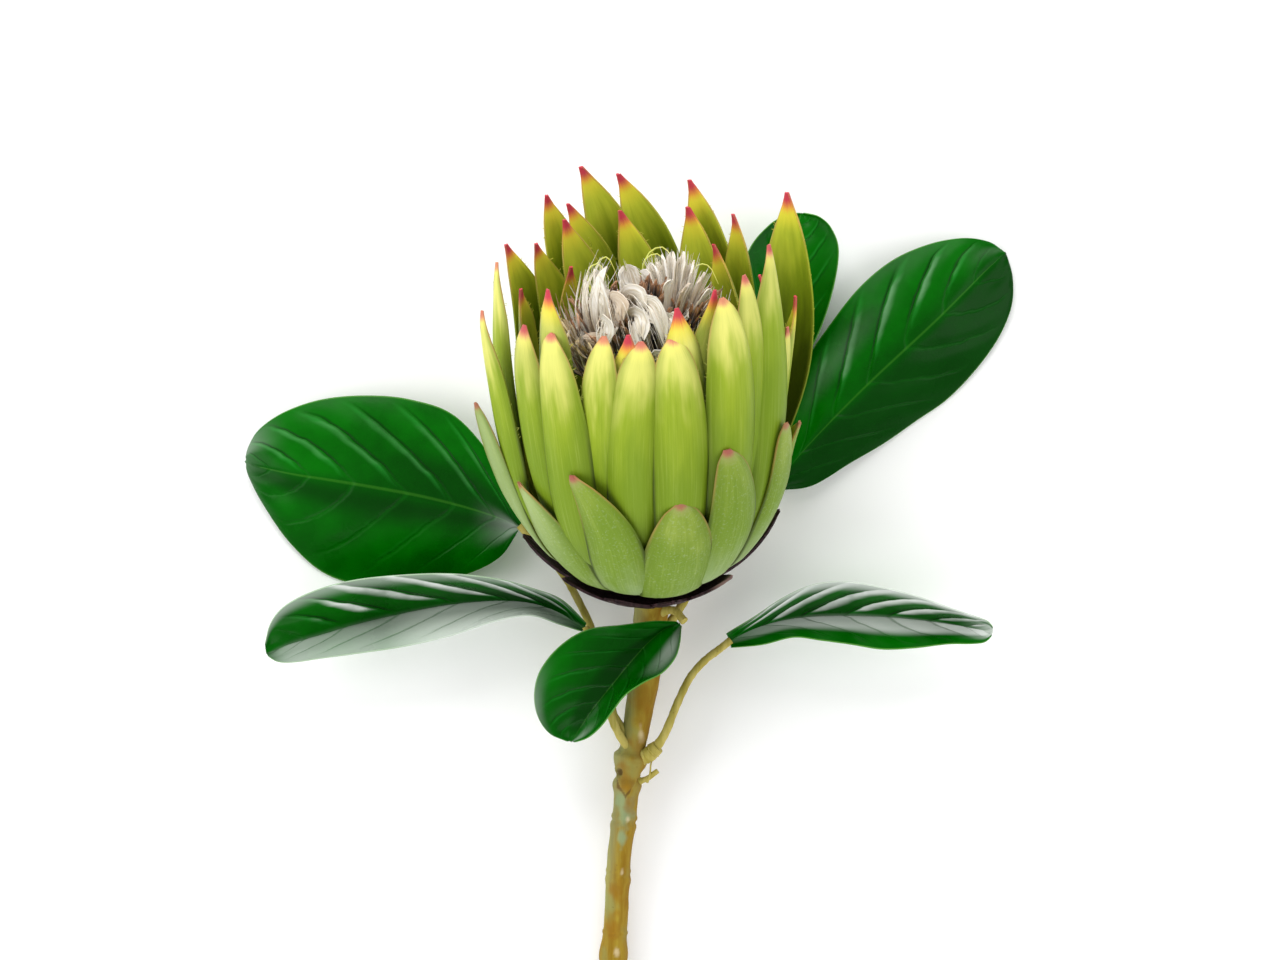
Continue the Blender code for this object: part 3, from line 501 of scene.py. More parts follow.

# Each leaf: the lines of its midrib and edges, how far its halves bulge and how deep its veins lie.
# Then patches (from and to along it, from and to across it, strength): where painted shade darkens
# it, where painted highlights lie as whitish bands beside its veins with a painted shade line on
# their other side, and where a painted whitish reflection covers it.
LEAVES = {
    "leaf_left_upper": {
        "midrib": (
            (-34, -13.3, 12), (-40, -10.6, 11), (-50, -7.5, 10), (-62, -4.5, 10), (-75, -2, 10),
            (-87, 0, 9), (-98, 1.7, 8), (-107, 3.6, 6), (-111.2, 4.8, 4.2), (-112.3, 5.3, 3.5),
        ),
        "left": (
            (-34.6, -14.6, 11.6), (-40, -22, 8.5), (-50, -27, 4.5), (-63, -29.8, 1.3),
            (-77, -30.4, 0.42), (-90, -26.8, 0.42), (-100, -18, 1.2), (-107.4, -7.3, 2.0),
            (-111.2, 0.0, 2.8), (-112.3, 4.2, 3.3),
        ),
        "right": (
            (-33.5, -11.8, 12.4), (-40, 3.5, 12), (-52, 17.8, 10), (-65, 22.8, 8), (-78, 24, 7),
            (-90.5, 22.9, 6.5), (-101, 19.4, 6), (-108.2, 14.6, 5.2), (-111.5, 9.6, 4.2),
            (-112.3, 6.4, 3.6),
        ),
        "cup": 1.6,
        "quilt": 0.16,
        "dark": ((-0.2, 0.8, -0.3, 0.0, 0.8), (-0.2, 0.45, -0.1, 0.45, 0.7)),
        "vein_highlight_and_shade": ((0.05, 0.85, 0.15, 0.85, 0.36), (0.1, 0.6, -0.7, -0.3, 0.06)),
        "painted_sheen": (
            (0.8, 0.98, 0.5, 1.0, 0.25),
            (-0.1, 0.06, -0.6, 0.1, 0.5),
            (0.9, 1.1, -1.2, 1.2, 0.15),
        ),
    },
    "leaf_left_lower": {
        "midrib": (
            (-15.6, -41.6, 15), (-22.6, -37.6, 12), (-31.3, -35, 8), (-42, -34.5, 5.5),
            (-55, -35.7, 4.5), (-68, -38.2, 4.5), (-81, -41.3, 5.5), (-90.5, -44.1, 6.8),
            (-98.6, -46.4, 8.5), (-103, -48, 9.4), (-106, -49, 10),
        ),
        "left": (
            (-16.3, -42.7, 15.6), (-22.7, -40.6, 17), (-31, -38, 20), (-41.5, -39.8, 21),
            (-53, -43.6, 21), (-66, -46.6, 21), (-79, -48.6, 20), (-89.5, -50.1, 17.5),
            (-97.7, -51.4, 14.5), (-102.4, -51.4, 12), (-105.4, -50, 10.4),
        ),
        "right": (
            (-15.1, -40.4, 15.6), (-21.9, -33.8, 18), (-29.6, -30.6, 21), (-39.5, -27.8, 23),
            (-52.6, -26.3, 23), (-66, -26.6, 23), (-79.5, -28, 22), (-90.5, -30.8, 19.5),
            (-99.6, -35.2, 16.5), (-104.2, -40.2, 13.6), (-106.3, -46.6, 10.9),
        ),
        "cup": -1.2,
        "quilt": 0.4,
        "dark": ((0.0, 0.35, 0.0, 0.5, 0.8),),
        "vein_highlight_and_shade": ((0.05, 0.72, 0.25, 1.2, 0.8),),
        "painted_sheen": (
            (0.12, 0.55, -1.2, -0.02, 0.75),
            (0.45, 0.9, -1.2, -0.02, 0.45),
            (0.1, 0.98, 0.84, 1.2, 0.4),
        ),
    },
    "leaf_front": {
        "midrib": (
            (11.0, -40.2, 22.6), (6.4, -42.4, 24), (2, -46.1, 25), (-2, -50.5, 26), (-5.6, -54.9, 27),
            (-9.2, -59.4, 27), (-12.6, -63.6, 26), (-15.6, -67.9, 24.5), (-17.9, -71.3, 23),
            (-19.2, -73.1, 22),
        ),
        "left": (
            (11.6, -41.0, 23), (11.1, -45, 30), (9.7, -49.1, 35), (6.1, -53.1, 38), (0.8, -55.8, 39),
            (-4.1, -59.2, 39), (-7.7, -64, 36), (-11.1, -68.6, 31.5), (-14.6, -71.8, 27),
            (-18.3, -73.4, 23),
        ),
        "right": (
            (10.2, -39.6, 23), (3.6, -39.4, 25), (-5, -40.4, 27), (-14.5, -41.6, 28), (-22, -45.9, 28.5),
            (-27.6, -52.6, 28), (-29.5, -59.4, 27), (-28.6, -65.9, 25.2), (-25.4, -70.8, 23.6),
            (-20.4, -73.2, 22.4),
        ),
        "cup": -1.2,
        "quilt": 0.2,
        "dark": ((-0.2, 0.9, -0.1, 0.35, 0.9), (0.1, 1.2, 0.05, 0.7, 0.4)),
        "vein_highlight_and_shade": ((0.1, 0.9, 0.3, 0.8, 0.18), (0.2, 0.8, -0.8, -0.3, 0.25)),
        "painted_sheen": (
            (0.08, 0.28, -0.9, -0.5, 0.5),
            (0.62, 0.8, 0.94, 1.1, 0.35),
            (0.85, 1.0, -0.7, -0.3, 0.3),
        ),
    },
    "leaf_right_upper": {
        "midrib": (
            (28.7, 0.2, 4.2), (31.3, 12.8, 6), (34.9, 27, 8), (38, 41.2, 9), (40.9, 53.9, 9),
            (42.9, 64.7, 9), (44.6, 71.6, 8), (45.5, 74.4, 7.3), (45.9, 75.8, 7),
        ),
        "left": (
            (27.9, 0.6, 4.6), (25.6, 12.6, 7.5), (24.6, 27, 10), (25.2, 41.5, 12), (27.4, 53.7, 12.5),
            (31, 65.4, 12), (36.6, 72.2, 10.4), (41.2, 75.0, 8.8), (45.0, 75.9, 7.5),
        ),
        "right": (
            (29.5, 0.2, 4.6), (37.4, 13.2, 7.5), (44, 28.8, 10), (50.9, 42.4, 12), (54.8, 54.8, 12.5),
            (56.2, 65.1, 12), (54.2, 71.4, 10.6), (50.9, 74.7, 9), (46.8, 75.9, 7.5),
        ),
        "cup": -1.2,
        "quilt": 0.16,
        "dark": ((-0.2, 0.5, -1.2, 1.2, 0.5),),
        "vein_highlight_and_shade": ((0.2, 0.9, 0.2, 0.8, 0.25),),
        "painted_sheen": (),
    },
    "leaf_right": {
        "midrib": (
            (38.6, -2.0, 5.4), (44.1, 5.7, 6.5), (51.1, 13.6, 8), (59, 21.8, 9.5), (67.2, 29.8, 10),
            (75.4, 37.4, 10), (84, 45.4, 9), (91.6, 52.9, 7), (98, 59.3, 5), (102.4, 63.4, 3.8),
            (104.2, 64.8, 3.2),
        ),
        "left": (
            (38.0, -1.2, 5.2), (41, 11, 5.8), (43.3, 23.3, 6.5), (47.2, 33.8, 7), (54.6, 44.9, 7),
            (62.6, 54.9, 7), (72, 62.6, 6.5), (82.6, 67.2, 5.5), (92.1, 68.9, 4.5), (99.2, 68.0, 3.6),
            (103.3, 65.6, 3.2),
        ),
        "right": (
            (39.2, -2.8, 5.2), (49, -1.6, 4), (60, 4.9, 2.5), (69.8, 10.6, 0.9), (79.3, 17.2, 0.36),
            (87.9, 23.2, 0.36), (95.9, 31.5, 1), (102.4, 40.6, 1.4), (106.1, 49.6, 1.9),
            (106.4, 57.6, 2.4), (104.8, 63.8, 2.9),
        ),
        "cup": 1.6,
        "quilt": 0.2,
        "dark": ((-0.2, 1.2, 0.02, 1.2, 0.75), (0.3, 1.0, -0.2, 0.1, 0.4)),
        "vein_highlight_and_shade": ((0.2, 0.8, -0.85, -0.25, 0.42),),
        "painted_sheen": ((0.25, 0.45, -0.75, -0.5, 0.06), (0.85, 0.95, -0.6, -0.3, 0.08)),
    },
    "leaf_right_lower": {
        "midrib": (
            (25.4, -45.5, 12.4), (31.8, -42.3, 9.5), (40.4, -40.1, 6.5), (50, -39, 5.2),
            (60.4, -38.8, 5.2), (69.8, -39, 6), (79.1, -39.8, 7), (88.1, -40.9, 8.5), (94.5, -42, 10),
            (98.2, -42.6, 11), (99.8, -42.8, 11.4),
        ),
        "left": (
            (24.4, -43.4, 13), (31.8, -38.8, 17), (40.7, -32.8, 20), (49.3, -29.2, 21),
            (58.3, -28.6, 21), (68.4, -30.3, 21), (77.5, -32.6, 20), (87.2, -36, 18), (94, -38.3, 15.5),
            (98, -39.8, 13.2), (99.9, -41.6, 11.9),
        ),
        "right": (
            (25.8, -47.4, 13), (34.6, -46.4, 15.5), (43.2, -44.2, 18), (50.8, -45, 19), (59, -46.1, 19),
            (68, -47.5, 19), (77.1, -47.2, 18), (86.8, -46.2, 16), (93.6, -46.2, 14.5),
            (97.4, -45.8, 13), (99.5, -44.2, 11.9),
        ),
        "cup": -1.2,
        "quilt": 0.42,
        "dark": ((0.0, 0.7, -0.4, 0.0, 0.2),),
        "vein_highlight_and_shade": ((0.08, 0.9, -1.2, -0.18, 1.0),),
        "painted_sheen": (
            (0.12, 0.98, 0.0, 0.5, 1.0),
            (0.86, 1.2, -0.7, 0.7, 0.7),
            (0.15, 0.9, -1.2, -0.84, 0.8),
        ),
    },
}
LEAF_ROWS = 72
LEAF_HALF_COLUMNS = 22
LEAF_EDGE_THICKNESS = 0.35
LEAF_RIB_THICKNESS = 1.3
LEAF_RIB_SHARE = 0.35
LEAF_VEIN_PAIRS = 8
LEAF_VEIN_SLANT = 2.1
LEAF_VEIN_BEND = 1.25
LEAF_VEIN_SWAY = 0.16
# A leaf's relief fades with these powers towards its midrib and edges, and towards its two ends.
LEAF_FADE_ACROSS = 0.8
LEAF_FADE_ALONG = 0.7
LEAF_SEED = 5
PATCH_SOFTNESS = 0.3

FLOOR_HALF_SIZE = 3000.0
WORLD_STRENGTH = 0.54
# Each light: its name, place, size and power.
LIGHTS = (
    ("key", (-120, 1150, 700), 1000, 15),
    ("left", (-1050, 0, 700), 900, 7.5),
    ("right", (1050, 0, 700), 900, 4.5),
    ("front", (0, -1050, 600), 900, 5.5),
)


def ease(value):
    """0 below 0, 1 above 1 and a smooth step between them."""
    value = min(max(value, 0.0), 1.0)
    return value * value * (3.0 - 2.0 * value)


def beyond(share, start, power):
    """0 up to start, then growing with a power to 1 where share is 1."""
    return max((share - start) / (1 - start), 0) ** power


def swell(distance, width):
    """1 at no distance, and falling smoothly to 0 past the width."""
    return math.exp(-((distance / width) ** 2))


def across_share(column, columns):
    """Where a column lies across its blade, from -1 to 1."""
    return 2 * column / (columns - 1) - 1


def smooth_path(points, count):
    """Points at even steps of a smooth curve through the given points."""
    knots = [Vector(point) for point in points]
    knots = [2 * knots[0] - knots[1], *knots, 2 * knots[-1] - knots[-2]]
    spans = len(knots) - 3
    path = []
    for step in range(count):
        along = spans * step / (count - 1)
        span = min(int(along), spans - 1)
        t = along - span
        before, start, end, after = knots[span : span + 4]
        curve = 2 * start + (end - before) * t
        curve += (2 * before - 5 * start + 4 * end - after) * t**2
        curve += (3 * start - before - 3 * end + after) * t**3
        path.append(curve / 2)
    return path


def share_at(t, outline):
    """The half width at t, from an outline's pairs, rounded between them."""
    last = len(outline) - 1
    span = next((i for i in range(last) if t <= outline[i + 1][0]), last - 1)
    (t0, start), (t1, end) = outline[span], outline[span + 1]
    before = outline[max(span - 1, 0)]
    after = outline[min(span + 2, last)]
    width = t1 - t0
    slope_in = (end - before[1]) / (t1 - before[0]) * width
    slope_out = (after[1] - start) / (after[0] - t0) * width
    u = (t - t0) / width
    share = (2 * u**3 - 3 * u**2 + 1) * start + (u**3 - 2 * u**2 + u) * slope_in
    return share + (3 * u**2 - 2 * u**3) * end + (u**3 - u**2) * slope_out


def head_axes():
    """The head's axis, its sideways direction and its front direction."""
    rise = math.radians(HEAD_RISE)
    lean = math.radians(HEAD_LEAN)
    upright = Vector((0, math.cos(rise), math.sin(rise)))
    side = Vector((1, 0, 0))
    front = Vector((0, -math.sin(rise), math.cos(rise)))
    axis = upright * math.cos(lean) + side * math.sin(lean)
    across = side * math.cos(lean) - upright * math.sin(lean)
    return axis, across, front


HEAD_AXIS, HEAD_ACROSS, HEAD_FRONT = head_axes()


def outward(angle):
    """The direction away from the head's axis at an angle round it."""
    turn = math.radians(angle)
    return HEAD_ACROSS * math.sin(turn) + HEAD_FRONT * math.cos(turn)


def sideways(angle):
    """The direction round the head's axis at an angle round it."""
    turn = math.radians(angle)
    return HEAD_ACROSS * math.cos(turn) - HEAD_FRONT * math.sin(turn)


def head_point(angle, height, radius):
    return HEAD_BASE + HEAD_AXIS * height + outward(angle) * radius


def head_place(place):
    """A point given as (sideways, front, height) in the head's frame."""
    side, front, height = place
    return HEAD_BASE + HEAD_ACROSS * side + HEAD_FRONT * front + HEAD_AXIS * height


def cup_radius(height):
    swelling = 1 - math.exp(-max(height, 0) / CUP_SWELL)
    return CUP_NECK_RADIUS + (CUP_RIM_RADIUS - CUP_NECK_RADIUS) * swelling


class Piece:
    """Points, faces and two values of three numbers for each point, gathered for one object.

    "place" says where on its blade a point lies and "kind" says what the blade is like. The materials
    read both.
    """

    def __init__(self):
        self.points = []
        self.faces = []
        self.place = []
        self.kind = []

    def add(self, point, place, kind):
        """Adds a point and returns its number."""
        self.points.append(point)
        self.place.append(place)
        self.kind.append(kind)
        return len(self.points) - 1

    def wrap(self, rings):
        """The faces round and at both ends of a row of rings of point numbers."""
        for ring, following in zip(rings, rings[1:]):
            for side in range(len(ring)):
                after = (side + 1) % len(ring)
                self.faces.append([ring[side], ring[after], following[after], following[side]])
        self.faces.append(rings[0][::-1])
        self.faces.append(rings[-1])

    def blade(self, grid, thickness, place, kind):
        """A closed thin solid about a grid of points. Its far side has 1 as its kind's last number."""
        rows, columns = len(grid), len(grid[0])
        index = {}
        for side in (1, -1):
            for row in range(rows):
                for column in range(columns):
                    along = grid[min(row + 1, rows - 1)][column] - grid[max(row - 1, 0)][column]
                    across = grid[row][min(column + 1, columns - 1)] - grid[row][max(column - 1, 0)]
                    normal = along.cross(across).normalized()
                    point = grid[row][column] + normal * (side * thickness(row, column) / 2)
                    index[row, column, side] = self.add(point, place(row, column), (*kind, max(side, 0)))
        for row in range(rows - 1):
            for column in range(columns - 1):
                corners = ((row, column), (row, column + 1), (row + 1, column + 1), (row + 1, column))
                self.faces.append([index[r, k, -1] for r, k in corners])
                self.faces.append([index[r, k, 1] for r, k in reversed(corners)])
        rim = [(0, column) for column in range(columns)]
        rim += [(row, columns - 1) for row in range(1, rows)]
        rim += [(rows - 1, column) for column in range(columns - 2, -1, -1)]
        rim += [(row, 0) for row in range(rows - 2, 0, -1)]
        for here, there in zip(rim, rim[1:] + rim[:1]):
            corners = ((*there, -1), (*here, -1), (*here, 1), (*there, 1))
            self.faces.append([index[corner] for corner in corners])

    def tube(self, path, radius, sides, place, kind):
        """A closed round tube. radius(row, turn) and place(row, turn) say how it is at each point."""
        rings = []
        normal = Vector((0, 0, 1))
        for row, centre in enumerate(path):
            tangent = (path[min(row + 1, len(path) - 1)] - path[max(row - 1, 0)]).normalized()
            normal = normal - tangent * normal.dot(tangent)
            if normal.length < SHORT_NORMAL:
                normal = tangent.orthogonal()
            normal = normal.normalized()
            other = tangent.cross(normal)
            ring = []
            for side in range(sides):
                turn = 2 * math.pi * side / sides
                away = normal * math.cos(turn) + other * math.sin(turn)
                ring.append(self.add(centre + away * radius(row, turn), place(row, turn), (*kind, 0)))
            rings.append(ring)
        self.wrap(rings)

    def turned(self, profile, kind):
        """A closed solid turned about the head's axis, with its faces looking inwards.

        The profile holds (height, radius) pairs, upwards.
        """
        rings = []
        for height, radius in profile:
            ring = []
            for side in range(TURNED_SIDES):
                point = head_point(360 * side / TURNED_SIDES, height, radius)
                ring.append(self.add(point, TURNED_PLACE, (*kind, 0)))
            rings.append(ring[::-1])
        self.wrap(rings)

    def finish(self, name, surface, nodes):
        """The object, in metres about the part's origin, for CAD nodes. It is flat where it lies."""
        mesh = bpy.data.meshes.new(name)
        left, low = ORIGIN_FROM_MARK
        points = [Vector((x - left, y - low, max(z, 0))) * MM for x, y, z in self.points]
        mesh.from_pydata(points, [], self.faces)
        for label, values in (("place", self.place), ("kind", self.kind)):
            attribute = mesh.attributes.new(label, "FLOAT_VECTOR", "POINT")
            attribute.data.foreach_set("vector", [number for value in values for number in value])
        mesh.materials.append(surface)
        mesh.shade_smooth()
        mesh.set_sharp_from_angle(angle=math.radians(SHARP_ANGLE))
        made = bpy.data.objects.new(name, mesh)
        bpy.context.scene.collection.objects.link(made)
        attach(made, BODY)
        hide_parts(*nodes)


class Surface:
    """A Principled material that is built node by node."""

    def __init__(self, name):
        self.made = bpy.data.materials.new(name)
        self.made.use_nodes = True
        self.nodes = self.made.node_tree.nodes
        self.links = self.made.node_tree.links
        self.shader = self.nodes["Principled BSDF"]

    def put(self, socket, value):
        """Links a socket to another, or sets its value."""
        if isinstance(value, bpy.types.NodeSocket):
            self.links.new(value, socket)
        elif socket.type == "RGBA":
            socket.default_value = (*value, 1)
        else:
            socket.default_value = value

    def look(self, **values):
        """Sets the shader's sockets. Their names have underscores for spaces here."""
        for name, value in values.items():
            self.put(self.shader.inputs[name.replace("_", " ")], value)
        return self.made

    def split(self, vector):
        parts = self.nodes.new("ShaderNodeSeparateXYZ")
        self.put(parts.inputs[0], vector)
        return tuple(parts.outputs)

    def attribute(self, label):
        """The three numbers of a point attribute."""
        node = self.nodes.new("ShaderNodeAttribute")
        node.attribute_name = label
        return self.split(node.outputs["Vector"])

    def object_place(self):
        return self.nodes.new("ShaderNodeTexCoord").outputs["Object"]

    def math(self, operation, *values):
        node = self.nodes.new("ShaderNodeMath")
        node.operation = operation
        for socket, value in zip(node.inputs, values):
            self.put(socket, value)
        return node.outputs[0]

    def times(self, first, second):
        return self.math("MULTIPLY", first, second)

    def ramp(self, value, low, high, to_low=0.0, to_high=1.0):
        """A smooth step from to_low where value is low to to_high where it is high."""
        node = self.nodes.new("ShaderNodeMapRange")
        node.interpolation_type = "SMOOTHSTEP"
        for socket, number in zip(node.inputs, (value, low, high, to_low, to_high)):
            self.put(socket, number)
        return node.outputs["Result"]

    def grain(self, first, second, third, scale, detail):
        """Noise about the middle 0.5, over three values."""
        node = self.nodes.new("ShaderNodeCombineXYZ")
        for socket, value in zip(node.inputs, (first, second, third)):
            self.put(socket, value)
        return self.noise(node.outputs[0], scale, detail)

    def noise(self, place, scale, detail):
        """Noise about the middle 0.5, at a place."""
        node = self.nodes.new("ShaderNodeTexNoise")
        self.put(node.inputs["Vector"], place)
        node.inputs["Scale"].default_value = scale
        node.inputs["Detail"].default_value = detail
        node.inputs["Roughness"].default_value = NOISE_ROUGHNESS
        return node.outputs["Fac"]

    def long_noise(self, stretch, scale, detail):
        """Noise over the object that is drawn out along Y where stretch is small."""
        mapping = self.nodes.new("ShaderNodeMapping")
        mapping.inputs["Scale"].default_value = (1, stretch, 1)
        self.put(mapping.inputs["Vector"], self.object_place())
        return self.noise(mapping.outputs["Vector"], scale, detail)

    def mix(self, amount, first, second):
        """The first colour, and the second where amount is 1."""
        node = self.nodes.new("ShaderNodeMix")
        node.data_type = "RGBA"
        self.put(node.inputs["Factor"], amount)
        self.put(node.inputs["A"], first)
        self.put(node.inputs["B"], second)
        return node.outputs["Result"]

    def layer(self, first, second, value, low, high, to_low=0.0, to_high=1.0):
        """The first colour, and the second as far as a ramp of the value says."""
        return self.mix(self.ramp(value, low, high, to_low, to_high), first, second)

    def bump(self, height, distance, strength):
        node = self.nodes.new("ShaderNodeBump")
        node.inputs["Strength"].default_value = strength
        node.inputs["Distance"].default_value = distance * MM
        self.put(node.inputs["Height"], height)
        return node.outputs["Normal"]


def bract_grid(bract, outline, root_height, boat_radius, draw):
    """The middle surface of one bract, from its root to its tip, curved across like a boat."""
    body_angle, tip_angle, tip_height, tip_radius, half_width, layer, twist = bract
    facing = math.cos(math.radians(tip_angle))
    hook = BRACT_HOOK if facing < BACK_COSINE else draw.uniform(*FRONT_HOOK)
    waves = draw.uniform(0, 6)
    nod = draw.uniform(*BRACT_NOD)
    bluntness = 0
    if outline is LONG_BRACT_OUTLINE and layer > BLUNT_LAYER:
        bluntness = ease((facing - BLUNT_COSINE) / 0.5)
    grid = []
    for row in range(BRACT_ROWS):
        t = 1 - (1 - row / (BRACT_ROWS - 1)) ** BRACT_ROW_CROWDING
        height = root_height + (tip_height - root_height) * t
        bend = beyond(t, BRACT_BEND_START, 2)
        out_of_base = ease(t / BRACT_ROOT_SHARE)
        radius = cup_radius(height) + layer * out_of_base - BRACT_ROOT_SINK * (1 - out_of_base)
        radius += (tip_radius - cup_radius(tip_height) - layer) * bend
        curl = bluntness * beyond(t, CURL_START, 2)
        radius += nod * (1 - bluntness) * beyond(t, NOD_START, 2) - CURL_DEPTH * curl
        height -= CURL_DROP * curl
        angle = body_angle + (tip_angle - body_angle) * bend
        share = share_at(t, outline) * (1 - bluntness) + share_at(t, BLUNT_BRACT_OUTLINE) * bluntness
        width = half_width * share
        boat = boat_radius * (1 - BRACT_TIP_FOLD * ease(beyond(t, BRACT_FOLD_START, 1)))
        turn = math.radians(twist) * ease((t - BRACT_TWIST_START) / BRACT_TWIST_LENGTH)
        across = sideways(angle) * math.cos(turn) + outward(angle) * math.sin(turn)
        out = outward(angle) * math.cos(turn) - sideways(angle) * math.sin(turn)
        middle = head_point(angle, height, radius)
        middle += across * (hook * beyond(t, BRACT_HOOK_START, BRACT_HOOK_POWER))
        line = []
        for column in range(BRACT_COLUMNS):
            share = across_share(column, BRACT_COLUMNS)
            bow = share * width / boat
            wave = BRACT_WAVE * share**4 * math.sin(9 * t + waves + share) * ease(t / 0.3)
            ribs = BRACT_RIB * math.cos(6 * math.pi * share) * (1 - t)
            place = middle + across * boat * math.sin(bow)
            place -= out * (boat * (1 - math.cos(bow)) + wave + ribs)
            line.append(place)
        grid.append(line)
    return grid


def low_back_bracts():
    """The low bracts on the head's underside, by their rule."""
    for index in range(LOW_BACK_COUNT):
        angle = LOW_BACK_START + LOW_BACK_STEP * index
        layer = LOW_BACK_LAYERS[index % 2]
        tip_height = LOW_BACK_TIP_HEIGHTS[index % 2]
        tip_radius = cup_radius(tip_height) + layer
        yield angle, angle + LOW_BACK_LEAN, tip_height, tip_radius, LOW_BACK_HALF_WIDTH, layer, 0


def receptacle_profile():
    """The dish that the bracts grow from."""
    profile = [(height, cup_radius(height) - RECEPTACLE_INSET) for height in RECEPTACLE_HEIGHTS]
    profile.append((RECEPTACLE_TOP, profile[-1][1] - RECEPTACLE_WALL))
    profile.append((HOLLOW_FLOOR_HEIGHT, HOLLOW_FLOOR_RADIUS))
    return profile


def add_bract(piece, bract, outline, root_height, boat_radius, sort, draw):
    grid = bract_grid(bract, outline, root_height, boat_radius, draw)
    tip = grid[-1][BRACT_COLUMNS // 2]

    def thickness(row, column):
        share = abs(across_share(column, BRACT_COLUMNS))
        return BRACT_THICKNESS + (BRACT_EDGE_THICKNESS - BRACT_THICKNESS) * share**2.5

    def place(row, column):
        from_tip = (grid[row][column] - tip).length
        return row / (BRACT_ROWS - 1), across_share(column, BRACT_COLUMNS), from_tip

    tone = draw.random()
    piece.blade(grid, thickness, place, (tone, sort))
    if sort < LOW_SORT:
        add_hairs(piece, grid, (tone, sort), draw)


def add_hairs(piece, grid, kind, draw):
    """Short hairs along the upper part of a bract's two edges."""
    for column, beside in ((0, 1), (BRACT_COLUMNS - 1, BRACT_COLUMNS - 2)):
        for index in range(HAIR_COUNT):
            row = draw.randrange(BRACT_ROWS // 2, BRACT_ROWS - 4)
            start = grid[row][column].lerp(grid[row + 1][column], draw.random())
            away = (grid[row][column] - grid[row][beside]).normalized()
            upwards = (grid[row + 1][column] - grid[row][column]).normalized()
            step = (away + upwards * draw.uniform(0.2, 1.2)).normalized() * draw.uniform(*HAIR_LENGTHS) / 2
            path = [start, start + step, start + 2 * step]
            piece.tube(path, lambda row, turn: HAIR_RADIUS, 3, lambda row, turn: HAIR_PLACE, kind)


def bracts(surface):
    draw = random.Random(BRACT_SEED)
    piece = Piece()
    piece.turned(receptacle_profile(), (0.5, LOW_SORT))
    long_shape = (LONG_BRACT_OUTLINE, LONG_BRACT_ROOT_HEIGHT, LONG_BRACT_BOAT_RADIUS)
    inner_shape = (LONG_BRACT_OUTLINE, INNER_BRACT_ROOT_HEIGHT, LONG_BRACT_BOAT_RADIUS)
    low_shape = (LOW_BRACT_OUTLINE, LOW_BRACT_ROOT_HEIGHT, LOW_BRACT_BOAT_RADIUS)
    for bract in OUTER_BRACTS:
        sort = BACK_SORT if math.cos(math.radians(bract[1])) < BACK_COSINE else FRONT_SORT
        add_bract(piece, bract, *long_shape, sort, draw)
    for bract in BACK_BRACTS:
        add_bract(piece, bract, *long_shape, BACK_SORT, draw)
    for bract in INNER_BRACTS:
        add_bract(piece, bract, *inner_shape, BACK_SORT, draw)
    for bract in (*LOW_BRACTS, *low_back_bracts()):
        add_bract(piece, bract, *low_shape, LOW_SORT, draw)
    piece.finish("bracts", surface, ["bract_head"])


def petal_grid(root, knee, tip, half_width, rows, columns, draw):
    """The middle surface of one petal, arched through its knee, with fine ribs and a frayed tip."""
    root, knee, tip = (head_place(place) for place in (root, knee, tip))
    control = 2 * knee - (root + tip) / 2
    fray = [draw.uniform(0, PETAL_FRAY) for column in range(columns)]
    twist = draw.uniform(-PETAL_TWIST, PETAL_TWIST)
    grid = []
    for row in range(rows):
        t = row / (rows - 1)
        width = half_width * (PETAL_ROOT_WIDTH + (1 - PETAL_ROOT_WIDTH) * ease(t / PETAL_WIDEST))
        width *= 1 - PETAL_TIP_LOSS * beyond(t, PETAL_TIP_START, 2)
        line = []
        for column in range(columns):
            share = across_share(column, columns)
            s = t * (1 - fray[column] * ease(beyond(t, PETAL_FRAY_START, 1)))
            middle = root * (1 - s) ** 2 + control * (2 * s * (1 - s)) + tip * s**2
            tangent = ((control - root) * (1 - s) + (tip - control) * s).normalized()
            from_axis = middle - HEAD_BASE
            from_axis -= HEAD_AXIS * from_axis.dot(HEAD_AXIS)
            across = tangent.cross(from_axis).normalized()
            facing = across.cross(tangent)
            turn = twist * t
            side = across * math.cos(turn) + facing * math.sin(turn)
            up = facing * math.cos(turn) - across * math.sin(turn)
            rib = PETAL_RIB * (1 if column % 2 else -1)
            place = middle + side * (share * width)
            place -= up * (width * PETAL_CROWN * share**2 + rib)
            line.append(place)
        grid.append(line)
    return grid


def add_petal(piece, root, knee, tip, half_width, sort, draw):
    rows, columns = (HUSK_ROWS, HUSK_COLUMNS) if sort == HUSK_SORT else (PETAL_ROWS, PETAL_COLUMNS)
    grid = petal_grid(root, knee, tip, half_width, rows, columns, draw)

    def place(row, column):
        return row / (rows - 1), across_share(column, columns), 0

    piece.blade(grid, lambda row, column: PETAL_THICKNESS, place, (draw.random(), sort))


def add_thread(piece, points, radius, sort, draw):
    path = smooth_path([head_place(point) for point in points], THREAD_ROWS)

    def radius_at(row, turn):
        return radius * (1 - THREAD_TAPER * (row / (THREAD_ROWS - 1)) ** 2)

    piece.tube(path, radius_at, 4, lambda row, turn: (row / (THREAD_ROWS - 1), 0, 0), (draw.random(), sort))


def scattered(place, spread, draw):
    """The place moved by up to the spread each way."""
    return tuple(number + draw.uniform(-spread, spread) for number in place)


def add_fringe(piece, root, knee, tip, half_width, sort, draw):
    """Fine threads along a petal that stand out at its edges and tip."""
    for index in range(FRINGE_COUNT):
        aside = scattered((0, 0, 0), half_width, draw)
        middle = tuple(number + FRINGE_KNEE_SHARE * shift for number, shift in zip(knee, aside))
        end = tuple(number + FRINGE_TIP_SHARE * shift for number, shift in zip(tip, aside))
        add_thread(piece, (root, middle, end), FRINGE_RADIUS, sort, draw)


def round_place(angle, radius, height):
    """(sideways, front, height) of a point round the head's axis."""
    turn = math.radians(angle)
    return radius * math.sin(turn), radius * math.cos(turn), height


